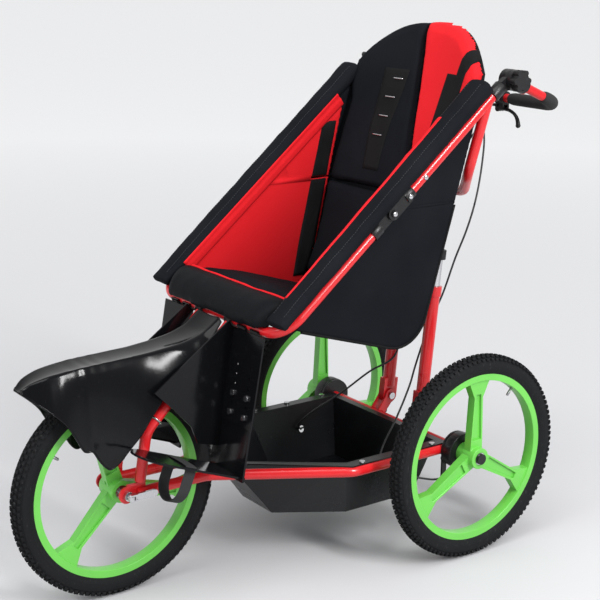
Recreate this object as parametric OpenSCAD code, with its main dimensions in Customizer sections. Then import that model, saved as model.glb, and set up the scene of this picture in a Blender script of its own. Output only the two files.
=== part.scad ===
// Three-wheeled special needs buggy with a tilting bucket seat, in millimetres, +Z up.
// The layout is drawn from the rear axle: the front is -Y, and +X is the rider's left.

/* [Wheels] */
// Outer radius of the tyres
tyre_r = 254; // [245:1:265]
// Width of the tyres
tyre_w = 43; // [38:1:48]
// Thickness of the tyre casing
tyre_wall = 4; // [3:0.5:6]
// Outer radius of the rim flanges
rim_r = 214; // [211:1:217]
// Radius of the bead seat
bead_r = 203; // [199:1:206]
// Radius of the inside of the rim
rim_window_r = 192; // [186:1:195]
// Width of the rim
rim_w = 30; // [28:1:34]
// Thickness of each rim flange
flange_t = 4; // [3:0.5:5]
// Number of moulded spokes
spoke_count = 3; // [3:1:5]
// Width of a spoke at the hub
spoke_root_w = 40; // [34:1:46]
// Width of a spoke at its waist
spoke_waist_w = 27; // [22:1:32]
// Width of a spoke where it runs into the rim
spoke_tip_w = 66; // [50:1:76]
// Thickness of a spoke along the axle
spoke_t = 22; // [16:1:26]
// Depth of the channel in each face of a spoke
channel_depth = 6; // [3:0.5:7]
// Radius of the hubs
hub_r = 26; // [24:1:30]
// Outer radius of a wheel bearing
bearing_r = 15; // [13:0.5:17]
// Width of a wheel bearing
bearing_w = 9; // [7:0.5:11]

/* [Chassis] */
// Distance from front axle to rear axle
wheelbase = 812; // [800:1:840]
// Distance between the rear wheels' centre planes
track = 608; // [604:1:660]
// Outer diameter of the frame tubes
tube_d = 25; // [22:0.5:27]
// Wall of the frame tubes
tube_wall = 2; // [1.5:0.5:3]
// Bend radius of the frame tubes
tube_bend_r = 60; // [50:1:70]
// Distance of the side tubes at the tray inside the rear wheels' centre planes
side_in = 79; // [78:1:84]
// Half the distance between the side tubes at the front wheel
dropout_x = 52; // [50:1:58]
// Where the side tubes start to spread, ahead of the rear axle
spread_front_y = 600; // [585:1:610]
// Where the side tubes run parallel again, ahead of the rear axle
spread_rear_y = 306; // [290:1:320]
// Depth of the storage tray below its lip
tray_depth = 146; // [110:1:160]
// Wall of the storage tray
tray_wall = 3.5; // [2.5:0.5:5]

/* [Struts] */
// Half the distance between the struts
strut_x = 66; // [62:1:80]
// Outer diameter of the strut tubes
strut_d = 32; // [30:0.5:35]
// Diameter of the silver rods
rod_d = 26; // [22:0.5:27]
// Length of the strut tubes from their pivot
strut_len = 295; // [270:1:310]
// Height of the strut pivots above the rear axle
strut_pivot_h = 46; // [42:1:52]

/* [Seat] */
// Height of the seat's front cross tube, its tilt pivot
seat_pivot_z = 622; // [615:1:635]
// Distance of the tilt pivot ahead of the rear axle
seat_pivot_y = 535; // [525:1:545]
// Slope of the seat rails
rail_angle = 39.7; // [38:0.1:41]
// Length of the seat rails from the tilt pivot
rail_len = 748; // [740:1:765]
// Half the distance between the seat rails
rail_x = 250; // [245:1:258]
// Distance of the fold hinge along the rails
hinge_s = 383; // [375:1:395]
// Lean of the backrest from upright
back_lean = 16.3; // [15:0.1:18]
// Slope of the seat base, down to the rear
base_slope = 16.8; // [14:0.1:19]
// Height of the top of the backrest
back_top_z = 1256; // [1235:1:1275]
// Hollow of the backrest at its top
back_hollow = 40; // [25:1:50]
// Thickness of the seat's padded shell
shell_t = 12; // [8:1:14]

/* [Handle] */
// Diameter of the handlebar
bar_d = 22; // [20:0.5:24]
// Distance of the crossbar behind the knuckles
bar_back = 168; // [160:1:185]
// Drop of the crossbar below the knuckles
bar_drop = 70; // [61:1:86]
// Bend radius of the handlebar
bar_bend_r = 50; // [40:1:60]
// Diameter of the foam grips
grip_d = 31; // [28:0.5:34]
// Radius of the knuckles
knuckle_r = 25; // [22:0.5:28]

/* [Hidden] */
$fn = 48;
// Clearance between pieces that are fixed to each other
gap = 0.2;
// Clearance between soft pieces and what they lie on
soft_gap = 0.4;
// Radial clearance of running fits
run = 0.05;
// How far a cut runs past what it cuts
over = 1;
tube_r = tube_d / 2;
axle_z = tyre_r;
wheel_x = track / 2;
side_x = wheel_x - side_in;
// The handle stands on the rail tops and moves with a longer or shorter rail
handle_rail = 748;
rail_more = (rail_len - handle_rail) * [0, cos(rail_angle), sin(rail_angle)];
knuckle_back = 115;
knuckle_up = 1146;
knuckle_y = knuckle_back + rail_more.y;
knuckle_z = knuckle_up + rail_more.z;
bar_y = knuckle_y + bar_back;
bar_z = knuckle_z - bar_drop;
bar_r = bar_d / 2;
grip_r = grip_d / 2;
strut_r = strut_d / 2;
rod_r = rod_d / 2;
// The origin is under the middle of the whole length, on the ground
origin_y = (wheelbase + tyre_r - bar_y - grip_r) / 2;

// Vector helpers
function unit(v) = v / norm(v);
function turn_at(p, i) = acos(unit(p[i] - p[i - 1]) * unit(p[i + 1] - p[i]));
function is_inner(p, i) = i > 0 && i < len(p) - 1;
function tangent_len(p, i, bend) = is_inner(p, i) ? bend * tan(turn_at(p, i) / 2) : 0;
function mix(a, b, t) = a + (b - a) * t;
// A point on the left rail, at a distance along it and a height above its axis
function rail_point(s, up = 0) = [rail_x,
    -seat_pivot_y + s * cos(rail_angle) - up * sin(rail_angle),
    seat_pivot_z + s * sin(rail_angle) + up * cos(rail_angle)];

// A straight round bar between two points
module round_bar(a, b, r) {
    d = b - a;
    translate(a)
        rotate([0, acos(d.z / norm(d)), atan2(d.y, d.x)])
            cylinder(h = norm(d), r = r);
}
// One bend of a tube, at the middle one of three points
module tube_bend(a, b, c, r, bend) {
    u = unit(b - a);
    v = unit(c - b);
    turn = acos(u * v);
    n = unit(cross(u, v));
    w = cross(n, u);
    start = b - u * bend * tan(turn / 2);
    centre = start + w * bend;
    multmatrix([[-w.x, u.x, n.x, centre.x], [-w.y, u.y, n.y, centre.y], [-w.z, u.z, n.z, centre.z]])
        rotate_extrude(angle = turn)
            translate([bend, 0])
                circle(r = r);
}
// A bar that follows points: straight runs and bends, plugged into each other by short spigots
joint_gap = 0.05;
spigot_step = 1;
spigot_len = 6;
module bent_bar(p, r, bend) {
    for (i = [0 : len(p) - 2]) {
        u = unit(p[i + 1] - p[i]);
        a = p[i] + u * tangent_len(p, i, bend);
        b = p[i + 1] - u * tangent_len(p, i + 1, bend);
        start = is_inner(p, i) ? a + u * joint_gap : a;
        end = is_inner(p, i + 1) ? b - u * joint_gap : b;
        round_bar(start, end, r);
        if (is_inner(p, i))
            round_bar(a - u * spigot_len / 2, a + u * spigot_len / 2, r - spigot_step);
        if (is_inner(p, i + 1))
            round_bar(b - u * spigot_len / 2, b + u * spigot_len / 2, r - spigot_step);
    }
    for (i = [1 : 1 : len(p) - 2])
        tube_bend(p[i - 1], p[i], p[i + 1], r, bend);
}
// A round bar along X, centred on a point
module cross_bar(x0, x1, y, z, r) {
    translate([x0, y, z])
        rotate([0, 90, 0])
            cylinder(h = x1 - x0, r = r);
}
// An outline in the YZ plane, drawn from one X to another
module side_plate(x0, x1, outline) {
    translate([x0, 0, 0])
        rotate([90, 0, 90])
            linear_extrude(x1 - x0)
                polygon(outline);
}
module both_sides() {
    children();
    mirror([1, 0, 0])
        children();
}
// A closed sheet between two grids of points, rows by columns
module grid_solid(top, bottom) {
    n = len(top);
    m = len(top[0]);
    half = n * m;
    points = concat([for (row = top) each row], [for (row = bottom) each row]);
    faces = concat(
        [for (i = [0 : n - 2], j = [0 : m - 2]) each [
            [i * m + j, i * m + j + 1, (i + 1) * m + j],
            [i * m + j + 1, (i + 1) * m + j + 1, (i + 1) * m + j],
            [half + i * m + j, half + (i + 1) * m + j, half + i * m + j + 1],
            [half + i * m + j + 1, half + (i + 1) * m + j, half + (i + 1) * m + j + 1]]],
        [for (j = [0 : m - 2]) each [
            [j, half + j, j + 1],
            [j + 1, half + j, half + j + 1],
            [(n - 1) * m + j, (n - 1) * m + j + 1, half + (n - 1) * m + j],
            [(n - 1) * m + j + 1, half + (n - 1) * m + j + 1, half + (n - 1) * m + j]]],
        [for (i = [0 : n - 2]) each [
            [i * m, (i + 1) * m, half + i * m],
            [(i + 1) * m, half + (i + 1) * m, half + i * m],
            [i * m + m - 1, half + i * m + m - 1, (i + 1) * m + m - 1],
            [(i + 1) * m + m - 1, half + i * m + m - 1, half + (i + 1) * m + m - 1]]]);
    polyhedron(points = points, faces = faces, convexity = 6);
}
// A stuffed pad: flat below but for a rise at one end, crowned above, its sides drawn in a little
pad_steps = 12;
rise_start_share = 0.6;
function pad_side(u, v, size, draw) = u * size / 2 * (1 - draw * (1 - v * v));
module pad(w, l, edge_t, crown, draw, rise) {
    s = [for (i = [0 : pad_steps]) 2 * i / pad_steps - 1];
    grid_solid(
        [for (v = s) [for (u = s)
            [pad_side(u, v, w, draw), pad_side(v, u, l, draw),
                edge_t + crown * (1 - pow(u, 4)) * (1 - pow(v, 4))]]],
        [for (v = s) [for (u = s) [pad_side(u, v, w, draw), pad_side(v, u, l, draw),
            rise * pow(max(0, (v - rise_start_share) / (1 - rise_start_share)), 2)]]]);
}

// Wheel sizes
tube_bore_r = 8;
valve_r = 3;
valve_len = 34;
valve_hole_r = valve_r + gap;
front_valve_angle = 218;
rear_valve_angle = 142;
spoke_overlap = 3;
channel_margin = 6;
channel_start_r = 44;
channel_end_r = 158;
waist_r = 150;
front_hub_half = 30;
front_axle_r = 5;
rear_axle_r = 6.3;
rear_hub_in = 32;
rear_hub_out = 26;
front_spoke_turn = 17;

// A moulded wheel on the X axis, its hub running from -hub_in to hub_out
module moulded_wheel(hub_in, hub_out, turn, valve_angle) {
    rotate([turn, 0, 0])
        rotate([0, 90, 0])
            difference() {
                union() {
                    rotate_extrude($fn = 96)
                        polygon([[rim_window_r, -rim_w / 2], [rim_r, -rim_w / 2],
                            [rim_r, -rim_w / 2 + flange_t], [bead_r, -rim_w / 2 + flange_t],
                            [bead_r, rim_w / 2 - flange_t], [rim_r, rim_w / 2 - flange_t],
                            [rim_r, rim_w / 2], [rim_window_r, rim_w / 2]]);
                    for (i = [0 : spoke_count - 1])
                        rotate([0, 0, 180 + 360 / spoke_count * i])
                            spoke();
                    translate([0, 0, -hub_in])
                        cylinder(h = hub_in + hub_out, r = hub_r);
                }
                translate([0, 0, -hub_in - over])
                    cylinder(h = hub_in + hub_out + 2 * over, r = tube_bore_r);
                translate([0, 0, -hub_in - over])
                    cylinder(h = bearing_w + over, r = bearing_r + run);
                translate([0, 0, hub_out - bearing_w])
                    cylinder(h = bearing_w + over, r = bearing_r + run);
                rotate([0, 0, valve_angle])
                    rotate([0, 90, 0])
                        cylinder(h = rim_r, r = valve_hole_r);
            }
}
// One spoke along X, with a channel in each face
module spoke() {
    difference() {
        translate([0, 0, -spoke_t / 2])
            linear_extrude(spoke_t)
                polygon([[0, -spoke_root_w / 2], [waist_r, -spoke_waist_w / 2],
                    [rim_window_r, -spoke_tip_w / 2], [rim_window_r + spoke_overlap, -spoke_tip_w / 2],
                    [rim_window_r + spoke_overlap, spoke_tip_w / 2], [rim_window_r, spoke_tip_w / 2],
                    [waist_r, spoke_waist_w / 2], [0, spoke_root_w / 2]]);
        for (side = [-1, 1])
            translate([0, 0, side * spoke_t / 2 - channel_depth])
                linear_extrude(2 * channel_depth)
                    polygon([[channel_start_r, -spoke_root_w / 2 + channel_margin],
                        [channel_end_r, -spoke_waist_w / 2 + channel_margin],
                        [channel_end_r, spoke_waist_w / 2 - channel_margin],
                        [channel_start_r, spoke_root_w / 2 - channel_margin]]);
    }
}
// A tyre casing open at its beads, with its tube's valve
module tyre_ring(turn, valve_angle) {
    section_r = tyre_r - tyre_w / 2;
    bead_half = rim_w / 2 - flange_t - gap;
    rotate([turn, 0, 0])
        rotate([0, 90, 0]) {
            rotate_extrude($fn = 96)
                difference() {
                    union() {
                        translate([section_r, 0])
                            circle(r = tyre_w / 2);
                        translate([bead_r + gap, -bead_half])
                            square([section_r - bead_r, 2 * bead_half]);
                    }
                    translate([section_r, 0])
                        circle(r = tyre_w / 2 - tyre_wall);
                    translate([0, -bead_half + tyre_wall])
                        square([section_r, 2 * (bead_half - tyre_wall)]);
                    for (side = [-1, 1])
                        translate([0, side * rim_w / 2 - (rim_w / 2 - bead_half)])
                            square([rim_r + gap, rim_w - 2 * bead_half]);
                }
            rotate([0, 0, valve_angle])
                rotate([0, 90, 0])
                    translate([0, 0, rim_window_r - valve_len])
                        cylinder(h = bead_r + gap - rim_window_r + valve_len, r = valve_r);
        }
}
module bearing_pair(hub_in, hub_out, axle_r) {
    for (x = [-hub_in, hub_out - bearing_w])
        rotate([0, 90, 0])
            translate([0, 0, x])
                difference() {
                    cylinder(h = bearing_w, r = bearing_r);
                    translate([0, 0, -over])
                        cylinder(h = bearing_w + 2 * over, r = axle_r + run);
                }
}
module at_front_wheel() {
    translate([0, -wheelbase, axle_z])
        children();
}
module at_rear_wheel() {
    translate([wheel_x, 0, axle_z])
        children();
}
module front_wheel() {
    color("limegreen")
        at_front_wheel()
            moulded_wheel(front_hub_half, front_hub_half, front_spoke_turn, front_valve_angle);
}
module front_tyre() {
    color([0.1, 0.1, 0.1])
        at_front_wheel()
            tyre_ring(front_spoke_turn, front_valve_angle);
}
module front_bearings() {
    color("silver")
        at_front_wheel()
            bearing_pair(front_hub_half, front_hub_half, front_axle_r);
}
module rear_wheel_left() {
    color("limegreen")
        at_rear_wheel()
            moulded_wheel(rear_hub_in, rear_hub_out, 0, rear_valve_angle);
}
module rear_tyre_left() {
    color([0.1, 0.1, 0.1])
        at_rear_wheel()
            tyre_ring(0, rear_valve_angle);
}
module rear_bearings_left() {
    color("silver")
        at_rear_wheel()
            bearing_pair(rear_hub_in, rear_hub_out, rear_axle_r);
}

// Brake drum, back plate and arm
drum_r = 45;
drum_wall = 4;
drum_len = 26;
plate_gap = 2;
plate_t = 6;
plate_r = 44;
drum_in_x = wheel_x - rear_hub_in - drum_len;
plate_in_x = drum_in_x - plate_gap - plate_t;
arm_pivot_r = 30;
arm_pivot_drop = 22;
arm_pivot_z = axle_z - arm_pivot_drop;
arm_pin_r = 5;
arm_t = 5;
arm_w = 14;
arm_len = 52;
arm_gap = 0.4;
arm_pin_head = 2;

module brake_drum_left() {
    color([0.08, 0.08, 0.08])
        difference() {
            cross_bar(drum_in_x, wheel_x - rear_hub_in, 0, axle_z, drum_r);
            cross_bar(drum_in_x - over, wheel_x - rear_hub_in - drum_wall, 0, axle_z, drum_r - drum_wall);
            cross_bar(drum_in_x - over, wheel_x + over, 0, axle_z, bearing_r);
        }
}
module brake_plate() {
    difference() {
        union() {
            cross_bar(plate_in_x, plate_in_x + plate_t, 0, axle_z, plate_r);
            cross_bar(plate_in_x - arm_t - 2 * arm_gap - arm_pin_head, plate_in_x + plate_t,
                -arm_pivot_r, arm_pivot_z, arm_pin_r);
            cross_bar(plate_in_x - arm_t - 2 * arm_gap - arm_pin_head, plate_in_x - arm_t - 2 * arm_gap,
                -arm_pivot_r, arm_pivot_z, arm_w / 2);
        }
        cross_bar(plate_in_x - over, plate_in_x + plate_t + over, 0, axle_z, rear_axle_r + gap);
    }
}
module brake_plates() {
    color([0.1, 0.1, 0.1])
        both_sides()
            brake_plate();
}
// The arm hangs from its pin on the back plate, with the cable's eye at its foot
module brake_arm_left() {
    x1 = plate_in_x - arm_gap;
    color([0.12, 0.12, 0.12])
        difference() {
            union() {
                cross_bar(x1 - arm_t, x1, -arm_pivot_r, arm_pivot_z, arm_w / 2);
                cross_bar(x1 - arm_t, x1, -arm_pivot_r, arm_pivot_z - arm_len, arm_w / 2);
                translate([x1 - arm_t, -arm_pivot_r - arm_w / 2, arm_pivot_z - arm_len])
                    cube([arm_t, arm_w, arm_len]);
            }
            cross_bar(x1 - arm_t - over, x1 + over, -arm_pivot_r, arm_pivot_z, arm_pin_r + run);
        }
}

// Rear axle tube with thick ends for the axles
receiver_len = 60;
axle_tube_half = plate_in_x;
axle_head_r = 13;
axle_head_t = 6.5;
module axle_tube() {
    color("red")
        difference() {
            cross_bar(-axle_tube_half, axle_tube_half, 0, axle_z, tube_r);
            cross_bar(-axle_tube_half + receiver_len, axle_tube_half - receiver_len, 0, axle_z,
                tube_r - tube_wall);
            cross_bar(-axle_tube_half - over, axle_tube_half + over, 0, axle_z, rear_axle_r + run);
        }
}
module rear_axles() {
    head_x = wheel_x + rear_hub_out + gap;
    color([0.08, 0.08, 0.08])
        both_sides()
            union() {
                cross_bar(axle_tube_half - receiver_len, head_x + axle_head_t / 2, 0, axle_z, rear_axle_r);
                cross_bar(head_x, head_x + axle_head_t, 0, axle_z, axle_head_r);
            }
}

// Side tubes and fork stays
dropout_t = 6;
dropout_reach = 24;
fork_rake = 18;
fork_foot_back = 34;
fork_foot_lift = 1.9;
fork_knee_z = 395;
fork_knee_x = 56;
fork_top_x = 60;
fork_knee_back = 49;
clamp_r = 20;
clamp_w = 24;
side_points = [[dropout_x, -wheelbase + dropout_reach + gap, axle_z], [dropout_x, -spread_front_y, axle_z],
    [side_x, -spread_rear_y, axle_z], [side_x, 0, axle_z]];
fork_points = [[dropout_x, -wheelbase + fork_foot_back, axle_z + dropout_reach + fork_foot_lift],
    [fork_knee_x, -wheelbase + fork_knee_back, fork_knee_z],
    [fork_top_x, -seat_pivot_y, seat_pivot_z]];
module frame_side_left() {
    color("red")
        difference() {
            bent_bar(side_points, tube_r, tube_bend_r);
            cross_bar(-wheel_x, wheel_x, 0, axle_z, tube_r + gap);
        }
}
module fork_left() {
    color("red")
        difference() {
            bent_bar(fork_points, tube_r, tube_bend_r);
            cross_bar(0, rail_x, -seat_pivot_y, seat_pivot_z, clamp_r + gap);
        }
}
module fork_dropouts() {
    color("red")
        both_sides()
            difference() {
                union() {
                    cross_bar(dropout_x - dropout_t / 2, dropout_x + dropout_t / 2, -wheelbase, axle_z,
                        dropout_reach - fork_rake / 4);
                    translate([dropout_x - dropout_t / 2, -wheelbase, axle_z - tube_r])
                        cube([dropout_t, dropout_reach, tube_d]);
                    translate([dropout_x - dropout_t / 2, -wheelbase, axle_z + tube_r + gap])
                        cube([dropout_t, fork_foot_back + tube_r, dropout_reach - tube_r - gap]);
                }
                cross_bar(0, rail_x, -wheelbase, axle_z, front_axle_r + run);
            }
}
module seat_pivot_clamps() {
    color([0.1, 0.1, 0.1])
        both_sides()
            difference() {
                cross_bar(fork_top_x - clamp_w / 2, fork_top_x + clamp_w / 2, -seat_pivot_y, seat_pivot_z,
                    clamp_r);
                cross_bar(0, rail_x, -seat_pivot_y, seat_pivot_z, tube_r + run);
            }
}

// Front axle and its quick-release lever
nut_r = 11;
nut_t = 9;
spacer_r = 8;
spacer_len = dropout_x - dropout_t / 2 - front_hub_half - 2 * gap;
skewer_r = 3.5;
eye_r = 8;
eye_t = 8;
eye_clear = 1.5;
eye_pin_r = 3;
lever_reach = 58;
lever_t = 6;
lever_cheek_w = 12;
lever_cheek_l = 14;
lever_cheek_t = 4;
lever_side_gap = 0.3;
axle_end_x = dropout_x + dropout_t / 2 + gap;
eye_x = axle_end_x + nut_t + eye_clear + eye_r;
lever_half = eye_t / 2 + lever_side_gap + lever_cheek_t;
module at_eye() {
    translate([eye_x, -wheelbase, axle_z])
        children();
}
module front_axle() {
    color("silver")
        union() {
            cross_bar(-axle_end_x - nut_t, axle_end_x + nut_t, -wheelbase, axle_z, front_axle_r);
            cross_bar(-axle_end_x - nut_t, -axle_end_x, -wheelbase, axle_z, nut_r);
            cross_bar(axle_end_x, axle_end_x + nut_t, -wheelbase, axle_z, nut_r);
            for (side = [-1, 1])
                cross_bar(side * (front_hub_half + gap + spacer_len / 2) - spacer_len / 2,
                    side * (front_hub_half + gap + spacer_len / 2) + spacer_len / 2, -wheelbase, axle_z,
                    spacer_r);
            cross_bar(axle_end_x + nut_t - over, eye_x, -wheelbase, axle_z, skewer_r);
            at_eye() {
                cylinder(h = eye_t, r = eye_r, center = true);
                cylinder(h = 2 * lever_half, r = eye_pin_r, center = true);
            }
        }
}
// The lever lies along the side tube and flips outwards about the pin in the skewer's eye
module quick_release_lever() {
    color("silver")
        at_eye()
            difference() {
                union() {
                    for (z = [-lever_half, lever_half - lever_cheek_t])
                        translate([0, 0, z]) {
                            cylinder(h = lever_cheek_t, r = lever_cheek_w / 2);
                            translate([-lever_cheek_w / 2, 0, 0])
                                cube([lever_cheek_w, lever_cheek_l, lever_cheek_t]);
                        }
                    translate([-lever_t / 2, eye_r + over, -lever_half])
                        cube([lever_t, lever_reach - eye_r - over, 2 * lever_half]);
                    translate([-lever_t / 2, lever_reach, 0])
                        rotate([0, 90, 0])
                            cylinder(h = lever_t, r = lever_half);
                }
                cylinder(h = 4 * lever_half, r = eye_pin_r + run, center = true);
            }
}

// Storage tray
tray_lip_z = axle_z + tube_r + soft_gap;
tray_lip_t = 3;
tray_lip_w = 16;
tray_inset = 20;
tray_nose_gap = 18;
tray_nose_back = 60;
tray_nose_y = min(wheelbase - tyre_r - tray_nose_gap, spread_front_y - tray_nose_back);
tray_nose_x = 40;
tray_tail_y = 16;
tray_floor_back = 118;
tray_floor_nose_y = tray_nose_y - tray_floor_back;
tray_floor_nose_x = 62;
tray_floor_in = 68;
tray_floor_side_x = side_x - tray_floor_in;
tray_floor_side_y = 270;
tray_floor_tail_y = 60;
cable_hole_r = 9;
cable_hole_y = 154;
cable_hole_z = 206;
function two_sided(p) = concat(p, [for (i = [len(p) - 1 : -1 : 0]) [-p[i].x, p[i].y]]);
tray_top = two_sided([[tray_nose_x, -tray_nose_y], [side_x - tray_inset, -spread_rear_y - tray_inset / 4],
    [side_x - tray_inset, -tray_tail_y - tray_lip_w]]);
tray_floor = two_sided([[tray_floor_nose_x, -tray_floor_nose_y], [tray_floor_side_x, -tray_floor_side_y],
    [tray_floor_side_x, -tray_floor_tail_y]]);
tray_lip = two_sided([[tray_nose_x + tray_lip_w / 4, -tray_nose_y - tray_lip_w / 2],
    [side_x + tray_lip_w / 4, -spread_rear_y - tray_lip_w / 4], [side_x + tray_lip_w / 4, -tray_tail_y]]);
tray_floor_z = tray_lip_z - tray_depth;
module tray_block(lift, inset) {
    hull() {
        translate([0, 0, tray_lip_z + tray_lip_t])
            linear_extrude(lift)
                offset(delta = -inset)
                    polygon(tray_top);
        translate([0, 0, tray_floor_z + inset])
            linear_extrude(lift)
                offset(delta = -inset)
                    polygon(tray_floor);
    }
}
module storage_tray() {
    color([0.1, 0.1, 0.1])
        difference() {
            union() {
                tray_block(gap, 0);
                translate([0, 0, tray_lip_z])
                    linear_extrude(tray_lip_t)
                        polygon(tray_lip);
            }
            tray_block(over, tray_wall);
            both_sides()
                cross_bar(tray_floor_side_x - tray_inset, side_x, -cable_hole_y, cable_hole_z, cable_hole_r);
        }
}

// Calf panels, footplates, straps and their bolts
panel_t = 4;
calf_in_x = 86;
calf_out_x = 206;
calf_top_y = 549;
calf_top_z = 612;
calf_foot_y = 583;
calf_foot_z = 405;
wing_edge = [[-594.5, 338], [-650, 354], [-666, 396], [-715, 448], [-760, 492], [-568, 628]];
calf_lean = atan((calf_foot_y - calf_top_y) / (calf_top_z - calf_foot_z));
calf_len = norm([calf_foot_y - calf_top_y, calf_top_z - calf_foot_z]);
saddle_x = [100, 150];
saddle_len = 30;
saddle_out_r = 18;
bolt_head_r = 7;
bolt_head_t = 4;
row_hole_r = 3.5;
row_count = 6;
row_pitch = 22;
row_x_shares = [0.3, 0.75];
module at_calf() {
    translate([0, -calf_top_y, calf_top_z])
        rotate([-calf_lean, 0, 0])
            children();
}
// The folded panel: a face behind the calf, a wing beside the wheel, saddles under the cross tube
module calf_panel_left() {
    color([0.1, 0.1, 0.1])
        difference() {
            union() {
                at_calf()
                    translate([calf_in_x, -panel_t, -calf_len])
                        cube([calf_out_x - calf_in_x, panel_t, calf_len]);
                side_plate(calf_in_x, calf_in_x + panel_t, concat([[-calf_top_y - panel_t, calf_top_z],
                    [-calf_top_y, calf_top_z], [-calf_foot_y, calf_foot_z]], wing_edge));
                for (x = saddle_x)
                    difference() {
                        cross_bar(x, x + saddle_len, -seat_pivot_y, seat_pivot_z, saddle_out_r);
                        translate([x - over, -seat_pivot_y - tube_d, seat_pivot_z])
                            cube([saddle_len + 2 * over, 2 * tube_d, tube_d]);
                    }
            }
            cross_bar(0, rail_x, -seat_pivot_y, seat_pivot_z, tube_r + run);
            at_calf()
                for (share = row_x_shares, i = [1 : row_count])
                    translate([mix(calf_in_x, calf_out_x, share), over, -calf_len + i * row_pitch])
                        rotate([90, 0, 0])
                            cylinder(h = panel_t + 2 * over, r = row_hole_r);
        }
}
foot_in_x = 84;
foot_out_x = 190;
foot_t = 5;
foot_len = 270;
foot_slope = 21;
heel_y = 590;
heel_z = 285;
upstand_h = 180;
upstand_in_x = 66;
upstand_out_x = 198;
upstand_low_share = 0.68;
slot_w = 30;
slot_l = 5;
slot_from_heel = 158;
slot_margin = 9;
module at_foot() {
    translate([0, -heel_y, heel_z])
        rotate([-foot_slope, 0, 0])
            children();
}
// A foot rest with a round toe, and an upstand that bolts to the calf panel's hole rows
module foot_plate() {
    toe_r = (foot_out_x - foot_in_x) / 2;
    difference() {
        union() {
            at_foot() {
                translate([foot_in_x, -foot_len + toe_r, 0])
                    cube([foot_out_x - foot_in_x, foot_len - toe_r, foot_t]);
                translate([(foot_in_x + foot_out_x) / 2, -foot_len + toe_r, 0])
                    cylinder(h = foot_t, r = toe_r);
            }
            at_calf()
                translate([upstand_in_x, gap, -calf_len - upstand_h * upstand_low_share])
                    cube([upstand_out_x - upstand_in_x, foot_t, upstand_h]);
        }
        at_foot()
            for (x = [foot_in_x + slot_margin, foot_out_x - slot_margin - slot_l])
                translate([x, -slot_from_heel, -over])
                    cube([slot_l, slot_w, foot_t + 2 * over]);
    }
}
module foot_plates() {
    color([0.1, 0.1, 0.1])
        both_sides()
            foot_plate();
}
strap_t = 2;
strap_drop = 44;
// A webbing loop through the footplate's slots, hanging slack below it
module foot_straps() {
    w = foot_out_x - foot_in_x - 2 * slot_margin - slot_l;
    lift = foot_t + soft_gap;
    color([0.08, 0.08, 0.08])
        both_sides()
            at_foot()
                translate([(foot_in_x + foot_out_x) / 2, -slot_from_heel + slot_w - gap, 0])
                    rotate([90, 0, 0])
                        linear_extrude(slot_w - 2 * gap)
                            difference() {
                                union() {
                                    translate([-w / 2 - strap_t / 2, -strap_drop])
                                        square([w + strap_t, strap_drop + lift + strap_t]);
                                    translate([0, -strap_drop])
                                        intersection() {
                                            circle(r = w / 2 + strap_t / 2);
                                            translate([-w, -w])
                                                square([2 * w, w]);
                                        }
                                }
                                translate([-w / 2 + strap_t / 2, -strap_drop])
                                    square([w - strap_t, strap_drop + lift]);
                                translate([0, -strap_drop])
                                    circle(r = w / 2 - strap_t / 2);
                            }
}
module bolt_out(h) {
    cylinder(h = h, r = row_hole_r - gap);
    translate([0, 0, h])
        cylinder(h = bolt_head_t, r = bolt_head_r);
}
// Button-headed bolts: through the calf panels into the footplates, and down through the tray's lip
tray_bolt_shares = [0.15, 0.55, 0.9];
module panel_bolts() {
    color("silver")
        both_sides() {
            at_calf()
                for (share = row_x_shares, i = [1, 3])
                    translate([mix(calf_in_x, calf_out_x, share), gap / 2, -calf_len + i * row_pitch])
                        rotate([90, 0, 0])
                            bolt_out(panel_t + gap);
            for (share = tray_bolt_shares)
                translate([side_x - tray_lip_w / 4, -mix(tray_tail_y, spread_rear_y, share),
                        tray_lip_z + tray_lip_t])
                    cylinder(h = bolt_head_t, r = bolt_head_r);
        }
}

// Mudguard: a narrow saddle over the front wheel with a deep flap on each side, lofted along its length
guard_t = 3;
guard_run = 228;
guard_stretch = (wheelbase - fork_knee_back - seat_pivot_y) / guard_run;
guard_half_steps = 8;
guard_top_share = 0.38;
guard_hollow = 3;
guard_bow = 0.8;
guard_fall = 1.15;
// Each station: distance ahead of the seat pivot, shoulder height, shoulder and hem half widths, hem height
guard_stations = [[505, 530, 14, 20, 523], [487, 543, 22, 36, 508], [460, 552, 29, 54, 486],
    [440, 556, 32, 61, 468], [423, 558, 34, 66, 449], [405, 560, 35, 69, 418], [391, 561, 36, 71, 391],
    [381, 562, 36, 72, 385], [369, 563, 37, 73, 384], [357, 563, 37, 74, 365], [345, 564, 37, 76, 348],
    [332, 564, 37, 78, 337], [318, 565, 37, 78, 340], [303, 565, 37, 78, 351], [280, 566, 37, 77, 373],
    [251, 567, 37, 76, 400], [225, 568, 37, 75, 434], [200, 570, 38, 74, 464], [170, 573, 38, 74, 495],
    [135, 577, 39, 73, 527], [105, 583, 39, 71, 553], [85, 589, 40, 67, 568], [65, 597, 40, 62, 578.2],
    [45, 611, 40, 57, 599.5], [28, 624, 39, 52, 617]];
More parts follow.
